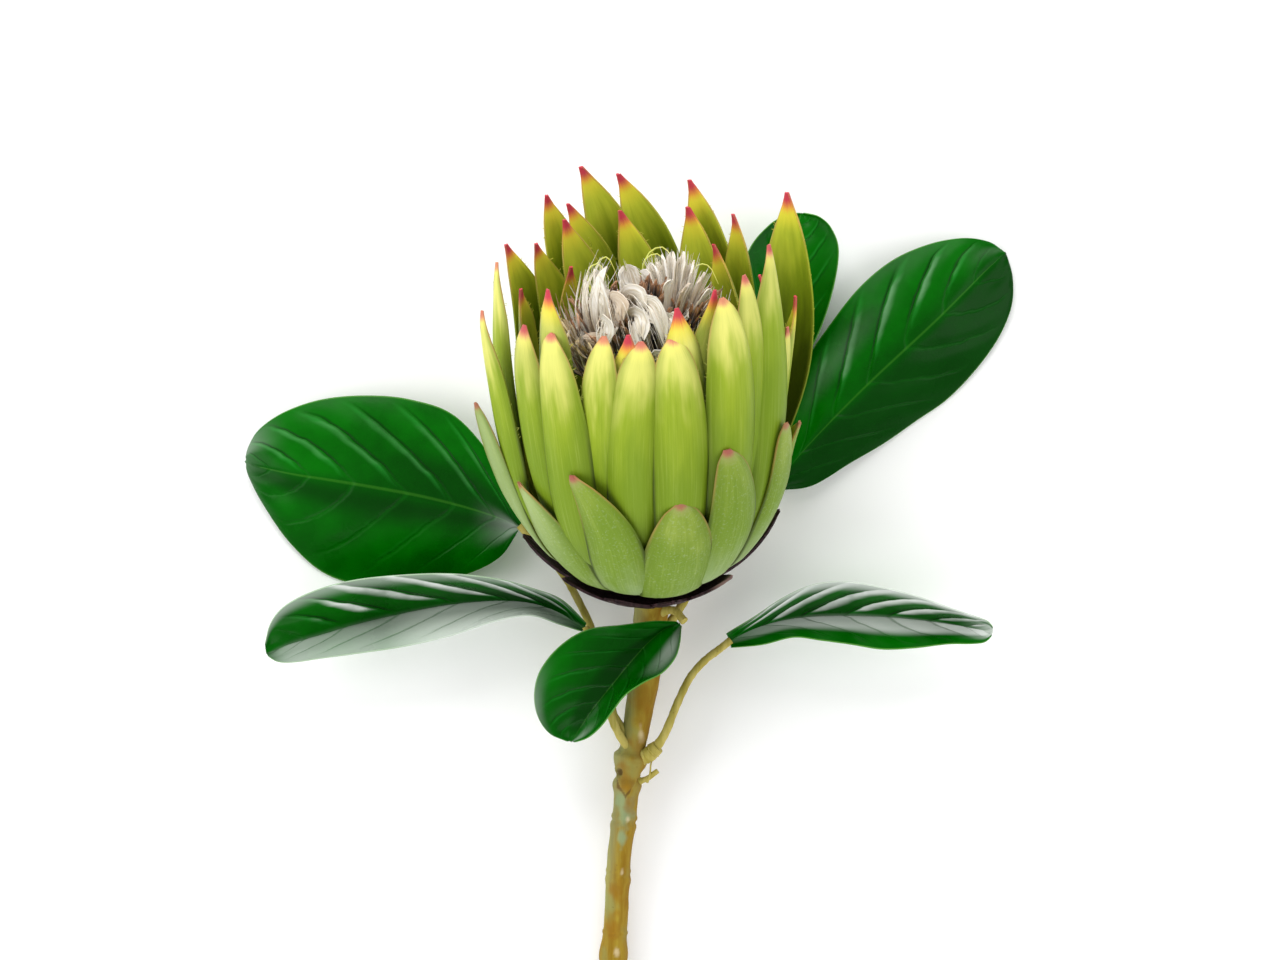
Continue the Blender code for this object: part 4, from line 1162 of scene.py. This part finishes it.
def ring_angles(count, jitter, draw):
    """Angles spread evenly round the head, each moved by up to the jitter, as a share of a step."""
    for index in range(count):
        yield 360 * (index + draw.uniform(-jitter, jitter)) / count


def add_thread_fan(piece, fan, draw):
    count, first, last, root_radius, root_height, tip_radius, tip_height = fan
    for index in range(count):
        angle = first + (last - first) * (index + draw.uniform(-0.4, 0.4)) / (count - 1)
        reach = tip_radius + draw.uniform(*FAN_REACH_SPREAD)
        height = tip_height + draw.uniform(*FAN_HEIGHT_SPREAD)
        root = round_place(angle, root_radius, root_height)
        knee = round_place(angle + draw.uniform(-3, 3), reach - FAN_KNEE_INSET, height - FAN_KNEE_DROP)
        tip = round_place(angle + draw.uniform(-5, 5), reach, height)
        sort = draw.choice((PETAL_SORT, PETAL_SORT, HUSK_SORT))
        add_thread(piece, (root, knee, tip), THREAD_RADIUS, sort, draw)


def add_short_florets(piece, count, radius, foot, head, draw):
    for angle in ring_angles(count, 0.5, draw):
        middle = radius + draw.uniform(-SHORT_RADIUS_SPREAD, SHORT_RADIUS_SPREAD)
        root = round_place(angle, radius - 1, foot)
        knee = round_place(angle, middle, (foot + head) / 2)
        tip_angle = angle + draw.uniform(-4, 4)
        tip_radius = middle + draw.uniform(0, 2)
        tip = round_place(tip_angle, tip_radius, head + draw.uniform(*SHORT_HEIGHT_SPREAD))
        sort = draw.choice((SILKY_SORT, HUSK_SORT))
        add_thread(piece, (root, knee, tip), TUBE_RADIUS, sort, draw)


def add_husk_cluster(piece, middle, spread, count, draw):
    for index in range(count):
        tip = scattered(middle, spread, draw)
        root = (tip[0] * HUSK_ROOT_SHARE, tip[1] * HUSK_ROOT_SHARE, tip[2] - HUSK_LENGTH)
        knee = scattered(tuple((a + b) / 2 for a, b in zip(root, tip)), HUSK_KNEE_SPREAD, draw)
        add_petal(piece, root, knee, tip, draw.uniform(*HUSK_HALF_WIDTHS), HUSK_SORT, draw)


def add_fill_petals(piece, count, root_radius, root_height, tip_radius, tip_height, half_width, draw):
    for angle in ring_angles(count, 0.3, draw):
        knee_radius = (root_radius + tip_radius) / 2 + draw.uniform(-1, 1)
        root = round_place(angle, root_radius, root_height)
        knee = round_place(angle + draw.uniform(-9, 9), knee_radius, tip_height - 4)
        tip = round_place(angle + draw.uniform(-14, 14), tip_radius, tip_height + draw.uniform(-4, 2))
        add_petal(piece, root, knee, tip, half_width, PETAL_SORT, draw)


def add_loose_husks(piece, draw):
    for index in range(HUSK_COUNT):
        angle = draw.uniform(0, 360)
        radius = draw.uniform(*LOOSE_HUSK_RADII)
        height = LOOSE_HUSK_TOP - LOOSE_HUSK_SLOPE * radius + draw.uniform(-4, 2)
        root = round_place(angle, radius, height - 9)
        knee = round_place(angle + draw.uniform(-12, 12), radius, height - 3)
        tip = round_place(angle + draw.uniform(-16, 16), radius + draw.uniform(-2, 3), height)
        add_petal(piece, root, knee, tip, draw.uniform(*LOOSE_HUSK_HALF_WIDTHS), HUSK_SORT, draw)


def florets(surface):
    """The tuft: core and tubes, petals, brown husks, threads, and short florets in the cup's foot."""
    draw = random.Random(FLORET_SEED)
    piece = Piece()
    piece.turned(FLORET_CORE, (0.5, HUSK_SORT))
    for angle in ring_angles(TUBE_COUNT, 0.2, draw):
        add_thread(piece, [round_place(angle, *spot) for spot in TUBE_PROFILE], TUBE_RADIUS, SILKY_SORT, draw)
    for petals, sort in ((TUFT_PETALS, PETAL_SORT), (SILKY_PETALS, SILKY_SORT)):
        for petal in petals:
            add_petal(piece, *petal, sort, draw)
            add_fringe(piece, *petal, sort, draw)
    for cluster in HUSK_CLUSTERS:
        add_husk_cluster(piece, *cluster, draw)
    for ring in FILL_PETAL_RINGS:
        add_fill_petals(piece, *ring, draw)
    for fan in THREAD_FANS:
        add_thread_fan(piece, fan, draw)
    add_loose_husks(piece, draw)
    for points in LOOP_THREADS:
        add_thread(piece, points, LOOP_RADIUS, LOOP_SORT, draw)
    for ring in SHORT_FLORETS:
        add_short_florets(piece, *ring, draw)
    piece.finish("floret_tuft", surface, ["florets"])


def sepal_grid(angle, tip_height, flare, half_width):
    """The middle surface of one sepal, from the disc out under the bracts."""
    grid = []
    for row in range(SEPAL_ROWS):
        t = row / (SEPAL_ROWS - 1)
        height = SEPAL_ROOT_HEIGHT + (tip_height - SEPAL_ROOT_HEIGHT) * t**1.5
        hugging = cup_radius(height) + SEPAL_CLEARANCE + flare * t
        radius = SEPAL_ROOT_RADIUS + (hugging - SEPAL_ROOT_RADIUS) * ease(t / SEPAL_SPREAD_SHARE)
        line = []
        for column in range(SEPAL_COLUMNS):
            share = across_share(column, SEPAL_COLUMNS)
            reach = share * half_width * share_at(t, SEPAL_OUTLINE)
            turn = angle + math.degrees(reach / max(radius, CALYX_DISC_RADIUS))
            ripple = SEPAL_RIPPLE * math.sin(7 * share + 5 * t + angle) * t
            line.append(head_point(turn, height + ripple, radius))
        grid.append(line)
    return grid


def calyx(surface):
    draw = random.Random(CALYX_SEED)
    piece = Piece()
    profile = ((CALYX_LOW_HEIGHT, CALYX_FOOT_RADIUS), (CALYX_TOP_HEIGHT, CALYX_DISC_RADIUS))
    piece.turned(profile, (0.5, 0))

    def place(row, column):
        return row / (SEPAL_ROWS - 1), across_share(column, SEPAL_COLUMNS), 0

    for sepal in SEPALS:
        pale = 1 if sepal[0] == PALE_SEPAL_ANGLE else 0
        piece.blade(sepal_grid(*sepal), lambda row, column: SEPAL_THICKNESS, place, (draw.random(), pale))
    piece.finish("calyx_sepals", surface, ["calyx"])


def stem_radius(place):
    """The stem's radius at a place: it tapers below the head and swells at its nodes."""
    taper = ease((-place.y - STEM_TAPER_START) / STEM_TAPER_LENGTH)
    radius = STEM_TOP_RADIUS + (STEM_LOW_RADIUS - STEM_TOP_RADIUS) * taper
    for middle, extra, half_length in STEM_NODES:
        radius += extra * swell(-place.y - middle, half_length)
    return radius


def sheath_edge(turn):
    """Where the bark's sheath ends at a turn round the stem."""
    return SHEATH_BOTTOM + SHEATH_RISE * abs(math.remainder(turn - SHEATH_TURN, 2 * math.pi))


def from_hole(place, turn, radius):
    """How far a point of the bark is from the middle of the hole."""
    return math.hypot(math.remainder(turn - HOLE_TURN, 2 * math.pi) * radius, place.y - HOLE_PLACE)


def stem_marks(centre, turn):
    """How teal, how orange and how pale the bark is beside a point of the stem's middle line."""
    amounts = [0.0, 0.0, 0.0]
    side = math.sin(turn)
    x = centre.x - side * stem_radius(centre)
    ragged = 1 + MARK_RAGGEDNESS * noise.noise(Vector((x, centre.y, math.cos(turn))) * 0.6)
    for mark_x, mark_y, size, sort in STEM_MARKS:
        distance = math.hypot(x - mark_x, (centre.y - mark_y) / MARK_STRETCH) * ragged
        amounts[sort] = max(amounts[sort], (1 - ease(distance / size - 0.4)) * ease(math.cos(turn) + 0.3))
    fade = ease((centre.y + STEM_GREEN_END) / STEM_GREEN_FADE)
    # The side tint, partly the bark's own colour and partly painted shade.
    amounts[0] = max(amounts[0], STEM_SIDE_TINT * ease(side) * fade)
    amounts[1] = max(amounts[1], STEM_SIDE_TINT * ease(-1.2 * side))
    # Painted shade along the step under the sheath's edge.
    from_sheath_edge = abs(centre.y - sheath_edge(turn) + 0.3) * ragged
    if SHEATH_SHADE_TURNS[0] < math.remainder(turn - SHEATH_TURN, 2 * math.pi) < SHEATH_SHADE_TURNS[1]:
        amounts[2] -= SHEATH_SHADE_DARKNESS * (1 - ease(from_sheath_edge / SHEATH_SHADE_HALF_WIDTH - 0.4))
    # Painted shade in the hole.
    amounts[2] -= 1 - ease(from_hole(centre, turn, stem_radius(centre)) / HOLE_RADIUS - 0.2)
    return tuple(amounts)


def bark_radius(place, turn):
    """The stem's radius with its sheath, hole, rings and uneven bark."""
    radius = stem_radius(place)
    around = Vector((math.cos(turn), math.sin(turn), 0))
    for depth, round_scale, long_scale in BARK_WAVES:
        radius += depth * noise.noise(around * round_scale + Vector((0, 0, place.y * long_scale)))
    for ring_place, ring_height in STEM_RINGS:
        radius += ring_height * swell(place.y - ring_place, STEM_RING_WIDTH)
    sheath = ease((place.y - sheath_edge(turn)) / 0.7) * (1 - ease((place.y - SHEATH_TOP) / 2.5))
    radius += SHEATH_HEIGHT * sheath
    hole = from_hole(place, turn, radius)
    radius -= HOLE_DEPTH * (1 - ease(hole / HOLE_RADIUS - 0.3))
    return radius + HOLE_LIP * swell(hole - HOLE_RADIUS - 0.3, 0.5)


def stem(surface):
    """The woody stem with its sheath and hole, its shoots and the leaf stalks."""
    piece = Piece()
    top = CALYX_LOW_HEIGHT - STEM_GAP
    start = (head_point(0, top, 0), head_point(0, top - STEM_STRAIGHT_LENGTH, 0))
    path = smooth_path((*start, *STEM_PATH), STEM_ROWS)

    def bark(row, turn):
        return bark_radius(path[row], turn)

    piece.tube(path, bark, STEM_SIDES, lambda row, turn: stem_marks(path[row], turn), (0, 0))
    for index, (start_radius, end_radius, points) in enumerate(SHOOTS):
        count = 8 * len(points)
        line = smooth_path(points, count)
        line[-1] = line[-1] + (line[-1] - line[-2]).normalized() * STALK_REACH

        def rind(row, turn):
            radius = start_radius + (end_radius - start_radius) * ease(2 * row / (count - 1))
            knots = noise.noise(Vector((index * 7.0, row * 0.5, 0)))
            return radius * (SHOOT_LEAST + SHOOT_KNOTS * knots)

        piece.tube(line, rind, SHOOT_SIDES, lambda row, turn: (0, 0, 0), (index / len(SHOOTS), 1))
    piece.finish("woody_stem", surface, ["stem"])


def leaf_phase(along, share):
    """Counts the side veins along a leaf: each whole number is a vein."""
    return LEAF_VEIN_PAIRS * along - LEAF_VEIN_SLANT * share**LEAF_VEIN_BEND


def leaf_grid(shape, draw):
    """The middle surface of one leaf, with its halves curved and sunk along the side veins."""
    midrib, left, right = (smooth_path(shape[line], LEAF_ROWS) for line in ("midrib", "left", "right"))
    shift = draw.uniform(0, 50)
    grid = []
    for row in range(LEAF_ROWS):
        t = row / (LEAF_ROWS - 1)
        along = midrib[min(row + 1, LEAF_ROWS - 1)] - midrib[max(row - 1, 0)]
        up = (right[row] - left[row]).cross(along).normalized()
        if up.z < 0:
            up = -up
        line = []
        for column in range(-LEAF_HALF_COLUMNS, LEAF_HALF_COLUMNS + 1):
            share = abs(column) / LEAF_HALF_COLUMNS
            edge = left[row] if column < 0 else right[row]
            way = 1 if column < 0 else -1
            sway = LEAF_VEIN_SWAY * noise.noise(Vector((t * 7, share * 3 * way, shift)))
            vein = math.sin(math.pi * (leaf_phase(t, share) + sway))
            relief = shape["cup"] + shape["quilt"] * (2 * abs(vein) - 1)
            relief *= math.sin(math.pi * share) ** LEAF_FADE_ACROSS * math.sin(math.pi * t) ** LEAF_FADE_ALONG
            line.append(midrib[row].lerp(edge, share) + up * relief)
        grid.append(line)
    return grid


def patch_amount(patches, along, share):
    """How strongly the patches of a leaf cover a place on it. Their borders are soft."""
    amount = 0.0
    for start, end, low, high, strength in patches:
        inside = strength
        for distance in (along - start, end - along, share - low, high - share):
            inside *= ease(distance / PATCH_SOFTNESS + 0.5)
        amount = max(amount, inside)
    return amount


def leaf(name, shape, surface, draw):
    piece = Piece()

    def thickness(row, column):
        share = abs(column - LEAF_HALF_COLUMNS) / LEAF_HALF_COLUMNS
        return LEAF_RIB_THICKNESS + (LEAF_EDGE_THICKNESS - LEAF_RIB_THICKNESS) * ease(share / LEAF_RIB_SHARE)

    def place(row, column):
        along = row / (LEAF_ROWS - 1)
        share = (column - LEAF_HALF_COLUMNS) / LEAF_HALF_COLUMNS
        # The third number is how strongly painted shade darkens the leaf there.
        return along, share, patch_amount(shape["dark"], along, share)

    piece.blade(leaf_grid(shape, draw), thickness, place, (0, 0))
    for index, spot in enumerate(piece.place):
        along, share = spot[:2]
        under = piece.kind[index][2]
        # The painted highlight bands, on the upper side only, and the painted whitish reflection.
        vein_highlight_and_shade = patch_amount(shape["vein_highlight_and_shade"], along, share) * (1 - under)
        piece.kind[index] = (vein_highlight_and_shade, patch_amount(shape["painted_sheen"], along, share), under)
    piece.finish("glossy_" + name, surface, [name])


def bract_outside(s, front, low, edge, along, tone, depth, fine, speck):
    """A bract's outer colour below its tip: olive, greener and whitish on low bracts, with painted shade."""
    body = s.layer((0.74, 0.72, 0.18), (0.31, 0.41, 0.022), depth, 6, 24)
    body = s.layer(body, (0.18, 0.28, 0.01), depth, 16, 44)
    body = s.layer(body, (0.115, 0.19, 0.014), depth, 44, 84)
    low_body = s.layer((0.26, 0.35, 0.05), (0.16, 0.26, 0.02), depth, 2, 20)
    low_body = s.layer(low_body, (0.33, 0.43, 0.22), depth, 28, 56)
    low_body = s.layer(low_body, (0.42, 0.5, 0.3), speck, 0.52, 0.72, 0.0, 0.35)
    left_side = s.ramp(s.split(s.object_place())[0], -0.03, -0.012, 0.6, 0.0)
    low_body = s.mix(s.times(left_side, s.ramp(fine, 0.3, 0.6, 0.5, 1.0)), low_body, (0.44, 0.54, 0.29))
    body = s.mix(low, body, low_body)
    body = s.layer(body, (0.15, 0.25, 0.01), tone, 0.2, 0.9, 0.3, 0.0)
    # Painted shade: the sides darker than the middle.
    body = s.layer(body, (0.11, 0.18, 0.006), edge, 0.35, 0.95, 0.0, 0.5)
    # Painted shade: a dark line along the front bracts' lower edges, where neighbours meet.
    gap_shade = s.times(s.ramp(edge, 0.84, 0.97), s.ramp(along, 0.45, 0.75, 0.85, 0.0))
    body = s.mix(s.times(gap_shade, front), body, (0.035, 0.055, 0.004))
    body = s.layer(body, (0.1, 0.17, 0.01), fine, 0.45, 0.75, 0.0, 0.14)
    return s.layer(body, (0.55, 0.62, 0.15), fine, 0.25, 0.5, 0.14, 0.0)


def bract_inside(s, front, edge, depth):
    """A bract's inner colour below its tip, darker deeper in and on the front bracts, partly painted shade.
    """
    inside = s.layer((0.52, 0.58, 0.04), (0.19, 0.27, 0.008), depth, 6, 30)
    # Painted shade: near-black deep in the cup.
    inside = s.layer(inside, (0.05, 0.075, 0.002), depth, 24, 50)
    # The front bracts' inner faces, darker with painted shade.
    shaded_inner_front = s.layer((0.36, 0.36, 0.02), (0.09, 0.13, 0.003), depth, 4, 20)
    shaded_inner_front = s.layer(shaded_inner_front, (0.025, 0.04, 0.001), depth, 20, 46)
    inside = s.mix(front, inside, shaded_inner_front)
    return s.layer(inside, (0.55, 0.55, 0.06), edge, 0.8, 1.0, 0.0, 0.3)


def bract_surface():
    """Yellow-green bracts: red nib, orange and yellow below it, olive and whitish lower down."""
    s = Surface("bract_green")
    along, across, from_tip = s.attribute("place")
    tone, sort, inner = s.attribute("kind")
    front = s.ramp(sort, 0.2, 0.4)
    low = s.ramp(sort, 0.6, 0.9)
    edge = s.math("ABSOLUTE", across)
    seed = s.times(tone, 37.0)
    fine = s.grain(s.times(across, 11.0), s.times(along, 2.4), seed, 2.0, 4)
    broad = s.grain(s.times(across, 1.4), s.times(along, 3.4), seed, 1.3, 2)
    depth = s.math("ADD", from_tip, s.times(s.math("SUBTRACT", broad, 0.5), 26.0))
    speck = s.noise(s.object_place(), 1400, 3)
    body = bract_outside(s, front, low, edge, along, tone, depth, fine, speck)
    body = s.mix(inner, body, bract_inside(s, front, edge, depth))
    shrink = s.math("ADD", s.times(front, s.math("MULTIPLY_ADD", tone, 0.9, 0.3)), 1.0)
    shrink = s.math("ADD", s.times(low, 0.8), shrink)
    ragged = s.times(s.math("SUBTRACT", fine, 0.5), 3.4)
    close = s.math("ADD", s.times(from_tip, shrink), ragged)
    yellow = s.mix(low, s.mix(front, (0.86, 0.72, 0.05), (0.8, 0.74, 0.17)), (0.3, 0.33, 0.1))
    orange = s.mix(low, s.mix(front, (0.8, 0.3, 0.05), (0.7, 0.34, 0.16)), (0.36, 0.2, 0.09))
    red = s.mix(low, s.mix(front, (0.56, 0.05, 0.075), (0.52, 0.1, 0.1)), (0.36, 0.11, 0.08))
    paler = s.times(front, s.ramp(tone, 0.3, 0.8, 0.0, 0.6))
    colour = s.layer(body, yellow, close, 5, 12, 0.65, 0.0)
    colour = s.layer(colour, orange, close, 3.4, 6.4, 0.9, 0.0)
    colour = s.layer(colour, s.mix(paler, red, orange), close, 1.8, 4.8, 1.0, 0.0)
    worn = s.times(s.ramp(edge, 0.86, 1.0), s.ramp(from_tip, 6, 22, 0.55, 0.0))
    colour = s.mix(worn, colour, (0.42, 0.17, 0.08))
    # The receptacle's dish deep in the cup: near-black to dark brown, partly its own colour and partly
    # painted shade.
    dish = s.layer((0.012, 0.012, 0.003), (0.05, 0.045, 0.012), speck, 0.4, 0.7)
    colour = s.layer(colour, dish, along, -0.8, -0.3, 1.0, 0.0)
    roughness = s.ramp(fine, 0.3, 0.7, 0.42, 0.55)
    relief = s.bump(fine, 0.2, 0.35)
    return s.look(Base_Color=colour, Roughness=roughness, Specular_IOR_Level=0.15, Normal=relief)


def floret_surface():
    """White silky petals, brownish at their roots (partly painted shade), brown husks and green threads."""
    s = Surface("floret_white")
    along, across = s.attribute("place")[:2]
    tone, sort = s.attribute("kind")[:2]
    fibre = s.grain(s.times(across, 6.0), s.times(along, 1.5), s.times(tone, 31.0), 1.5, 3)
    white = s.layer((0.88, 0.85, 0.79), (0.68, 0.6, 0.46), fibre, 0.35, 0.65)
    # Brownish towards the roots: partly the petals' own colour and partly painted shade between them.
    white = s.layer(white, (0.3, 0.16, 0.07), along, 0.15, 0.55, 0.95, 0.0)
    white = s.layer(white, (0.62, 0.42, 0.24), tone, 0.86, 0.9, 0.0, 0.5)
    brown = s.layer((0.02, 0.01, 0.006), (0.42, 0.2, 0.08), along, 0.3, 0.95)
    green = s.layer((0.5, 0.55, 0.06), (0.75, 0.72, 0.1), along, 0.3, 1.0)
    silky = s.layer((0.2, 0.12, 0.03), (0.5, 0.38, 0.17), along, 0.4, 1.0)
    colour = s.layer(white, silky, sort, 0.2, 0.4)
    colour = s.layer(colour, brown, sort, 0.6, 0.9)
    colour = s.layer(colour, green, sort, 1.3, 1.7)
    return s.look(Base_Color=colour, Roughness=0.5, Sheen_Weight=0.5, Normal=s.bump(fibre, 0.2, 0.5))


def calyx_surface():
    s = Surface("calyx_dark")
    along = s.attribute("place")[0]
    pale = s.attribute("kind")[1]
    grain = s.noise(s.object_place(), 900, 4)
    dark = s.layer((0.012, 0.004, 0.006), (0.055, 0.022, 0.028), grain, 0.35, 0.7)
    rim = s.times(s.ramp(along, 0.78, 0.95), s.times(pale, 0.85))
    colour = s.mix(rim, dark, (0.3, 0.19, 0.17))
    relief = s.bump(grain, 0.3, 0.5)
    return s.look(Base_Color=colour, Roughness=0.55, Specular_IOR_Level=0.2, Normal=relief)


def stem_surface():
    """Ochre bark, streaked lengthwise, with grey-green, teal, orange and pale patches."""
    s = Surface("stem_bark")
    teal, orange, pale = s.attribute("place")
    shoot = s.attribute("kind")[1]
    streak = s.long_noise(0.07, 420, 4)
    patch = s.long_noise(0.5, 120, 3)
    speck = s.noise(s.object_place(), 900, 2)
    bark = s.layer((0.24, 0.14, 0.01), (0.36, 0.26, 0.03), streak, 0.32, 0.68)
    bark = s.layer(bark, (0.26, 0.27, 0.08), patch, 0.5, 0.66, 0.0, 0.6)
    bark = s.layer(bark, (0.24, 0.11, 0.008), patch, 0.28, 0.44, 0.5, 0.0)
    stalk = s.layer((0.34, 0.28, 0.05), (0.5, 0.42, 0.12), streak, 0.3, 0.7)
    bark = s.mix(shoot, bark, stalk)
    bark = s.layer(bark, (0.14, 0.08, 0.02), speck, 0.66, 0.74, 0.0, 0.45)
    bark = s.mix(s.times(teal, 0.6), bark, (0.22, 0.37, 0.22))
    bark = s.mix(s.times(orange, 0.6), bark, (0.26, 0.12, 0.008))
    bark = s.mix(s.times(s.math("MAXIMUM", pale, 0.0), 0.6), bark, (0.66, 0.55, 0.34))
    # Painted shade: darker where pale is below zero, under the sheath's edge and in the hole.
    bark = s.layer(bark, (0.1, 0.045, 0.012), pale, -0.8, -0.1, 0.7, 0.0)
    relief = s.bump(streak, 0.2, 0.4)
    return s.look(Base_Color=bark, Roughness=0.6, Specular_IOR_Level=0.08, Normal=relief)


def leaf_surface():
    """Glossy dark green leaves with lighter veins, painted shade, whitish painted highlights, paler
    underside.
    """
    s = Surface("leaf_green")
    along, across, dark = s.attribute("place")
    vein_highlight_and_shade, painted_sheen, under = s.attribute("kind")
    away = s.math("ABSOLUTE", across)
    slant = s.times(s.math("POWER", away, LEAF_VEIN_BEND), -LEAF_VEIN_SLANT)
    phase = s.math("ADD", s.times(along, LEAF_VEIN_PAIRS), slant)
    sway = s.grain(s.times(along, 7.0), s.times(across, 3.0), phase, 1.0, 2)
    counted = s.math("ADD", phase, s.times(s.math("SUBTRACT", sway, 0.5), 0.3))
    from_vein = s.math("PINGPONG", counted, 0.5)
    vein = s.times(s.ramp(from_vein, 0.0, 0.09, 1.0, 0.0), s.ramp(away, 0.6, 0.95, 1.0, 0.0))
    vein = s.times(vein, s.ramp(along, 0.74, 0.92, 1.0, 0.0))
    rib = s.ramp(away, 0.006, 0.025, 1.0, 0.0)
    mottle = s.noise(s.object_place(), 45, 4)
    top = s.layer((0.0, 0.07, 0.0), (0.0, 0.12, 0.0), mottle, 0.3, 0.7)
    # Painted shade: darker where the leaf's shade patches lie.
    top = s.mix(dark, top, (0.0, 0.03, 0.0))
    top = s.mix(s.times(vein, 0.08), top, (0.01, 0.26, 0.01))
    below = s.layer((0.02, 0.17, 0.01), (0.05, 0.23, 0.02), mottle, 0.3, 0.7)
    colour = s.mix(under, top, below)
    colour = s.mix(s.times(rib, 0.25), colour, (0.06, 0.26, 0.02))
    colour = s.layer(colour, (0.14, 0.36, 0.07), away, 0.98, 0.995, 0.0, 0.5)
    # Painted highlights: whitish bands beside the veins, broken up by the mottle.
    turn = s.math("FRACT", counted)
    reach = s.math("ADD", s.times(vein_highlight_and_shade, 0.42), 0.16)
    highlight_beside_vein = s.times(s.ramp(turn, 0.03, 0.1), s.ramp(turn, 0.1, reach, 1.0, 0.0))
    broken_highlight = s.times(highlight_beside_vein, s.ramp(mottle, 0.35, 0.6, 0.45, 1.0))
    # Painted shade: a dark line on the other side of each vein from its highlight band.
    sunk = s.math("MINIMUM", s.times(vein_highlight_and_shade, 2.0), 0.8)
    colour = s.mix(s.times(s.ramp(turn, 0.86, 0.97), sunk), colour, (0.0, 0.022, 0.0))
    vein_highlight_colour = s.layer((0.02, 0.25, 0.03), (0.82, 0.84, 0.82), vein_highlight_and_shade, 0.3, 0.75)
    lit = s.math("MINIMUM", s.times(vein_highlight_and_shade, 1.5), 1.0)
    colour = s.mix(s.times(lit, broken_highlight), colour, vein_highlight_colour)
    # Painted reflection: a whitish glossy look over the reflection patches, weaker on the veins.
    veined = s.math("SUBTRACT", 1.0, s.times(vein, 0.45))
    colour = s.mix(s.times(painted_sheen, veined), colour, (0.7, 0.74, 0.7))
    gloss = {"Specular_IOR_Level": 0.07, "Coat_Weight": 0.03, "Coat_Roughness": 0.16}
    relief = s.bump(s.times(vein, -1.0), 0.3, 0.5)
    return s.look(Base_Color=colour, Roughness=s.ramp(mottle, 0.3, 0.7, 0.24, 0.34), Normal=relief, **gloss)


def floor():
    """The pale surface that the flower lies on."""
    s = Surface("floor_white")
    half = FLOOR_HALF_SIZE
    mesh = bpy.data.meshes.new("floor")
    corners = [(-half, -half, 0), (half, -half, 0), (half, half, 0), (-half, half, 0)]
    mesh.from_pydata([Vector(corner) * MM for corner in corners], [], [(0, 1, 2, 3)])
    mesh.materials.append(s.look(Base_Color=(0.96, 0.96, 0.96), Roughness=0.8, Specular_IOR_Level=0.1))
    made = bpy.data.objects.new("floor", mesh)
    bpy.context.scene.collection.objects.link(made)
    made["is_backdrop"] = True


def panel(name, place, size, power):
    """A soft rectangular light that faces the flower."""
    light = bpy.data.lights.new(name, "AREA")
    light.shape = "SQUARE"
    light.size = size * MM
    light.energy = power
    made = bpy.data.objects.new(name, light)
    made.location = Vector(place) * MM
    made.rotation_euler = (-made.location).to_track_quat("-Z", "Y").to_euler()
    bpy.context.scene.collection.objects.link(made)


def studio():
    world = bpy.data.worlds.new("studio")
    world.use_nodes = True
    background = world.node_tree.nodes["Background"]
    background.inputs["Color"].default_value = (1, 1, 1, 1)
    background.inputs["Strength"].default_value = WORLD_STRENGTH
    bpy.context.scene.world = world
    for light in LIGHTS:
        panel(*light)


def camera():
    """Looks straight down, with the photograph's frame."""
    data = bpy.data.cameras.new("camera")
    data.sensor_width = SENSOR_WIDTH
    data.lens = SENSOR_WIDTH * CAMERA_REACH / (PHOTO_WIDTH / PIXELS_PER_MM)
    made = bpy.data.objects.new("camera", data)
    made.location = Vector((-ORIGIN_FROM_MARK[0], -ORIGIN_FROM_MARK[1], CAMERA_HEIGHT)) * MM
    bpy.context.scene.collection.objects.link(made)
    bpy.context.scene.camera = made


def build():
    bracts(bract_surface())
    florets(floret_surface())
    calyx(calyx_surface())
    stem(stem_surface())
    draw = random.Random(LEAF_SEED)
    glossy = leaf_surface()
    for name, shape in LEAVES.items():
        leaf(name, shape, glossy, draw)
    floor()
    studio()
    camera()
    bpy.context.scene.view_settings.view_transform = "Standard"


def write_sizes():
    """Lists the corners of the CAD parts' box and of the finished flower's box, and keeps neither."""
    for name, box in (("cad", CAD_BOX), ("visual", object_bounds())):
        [list(corner) for corner in box]


build()
write_sizes()
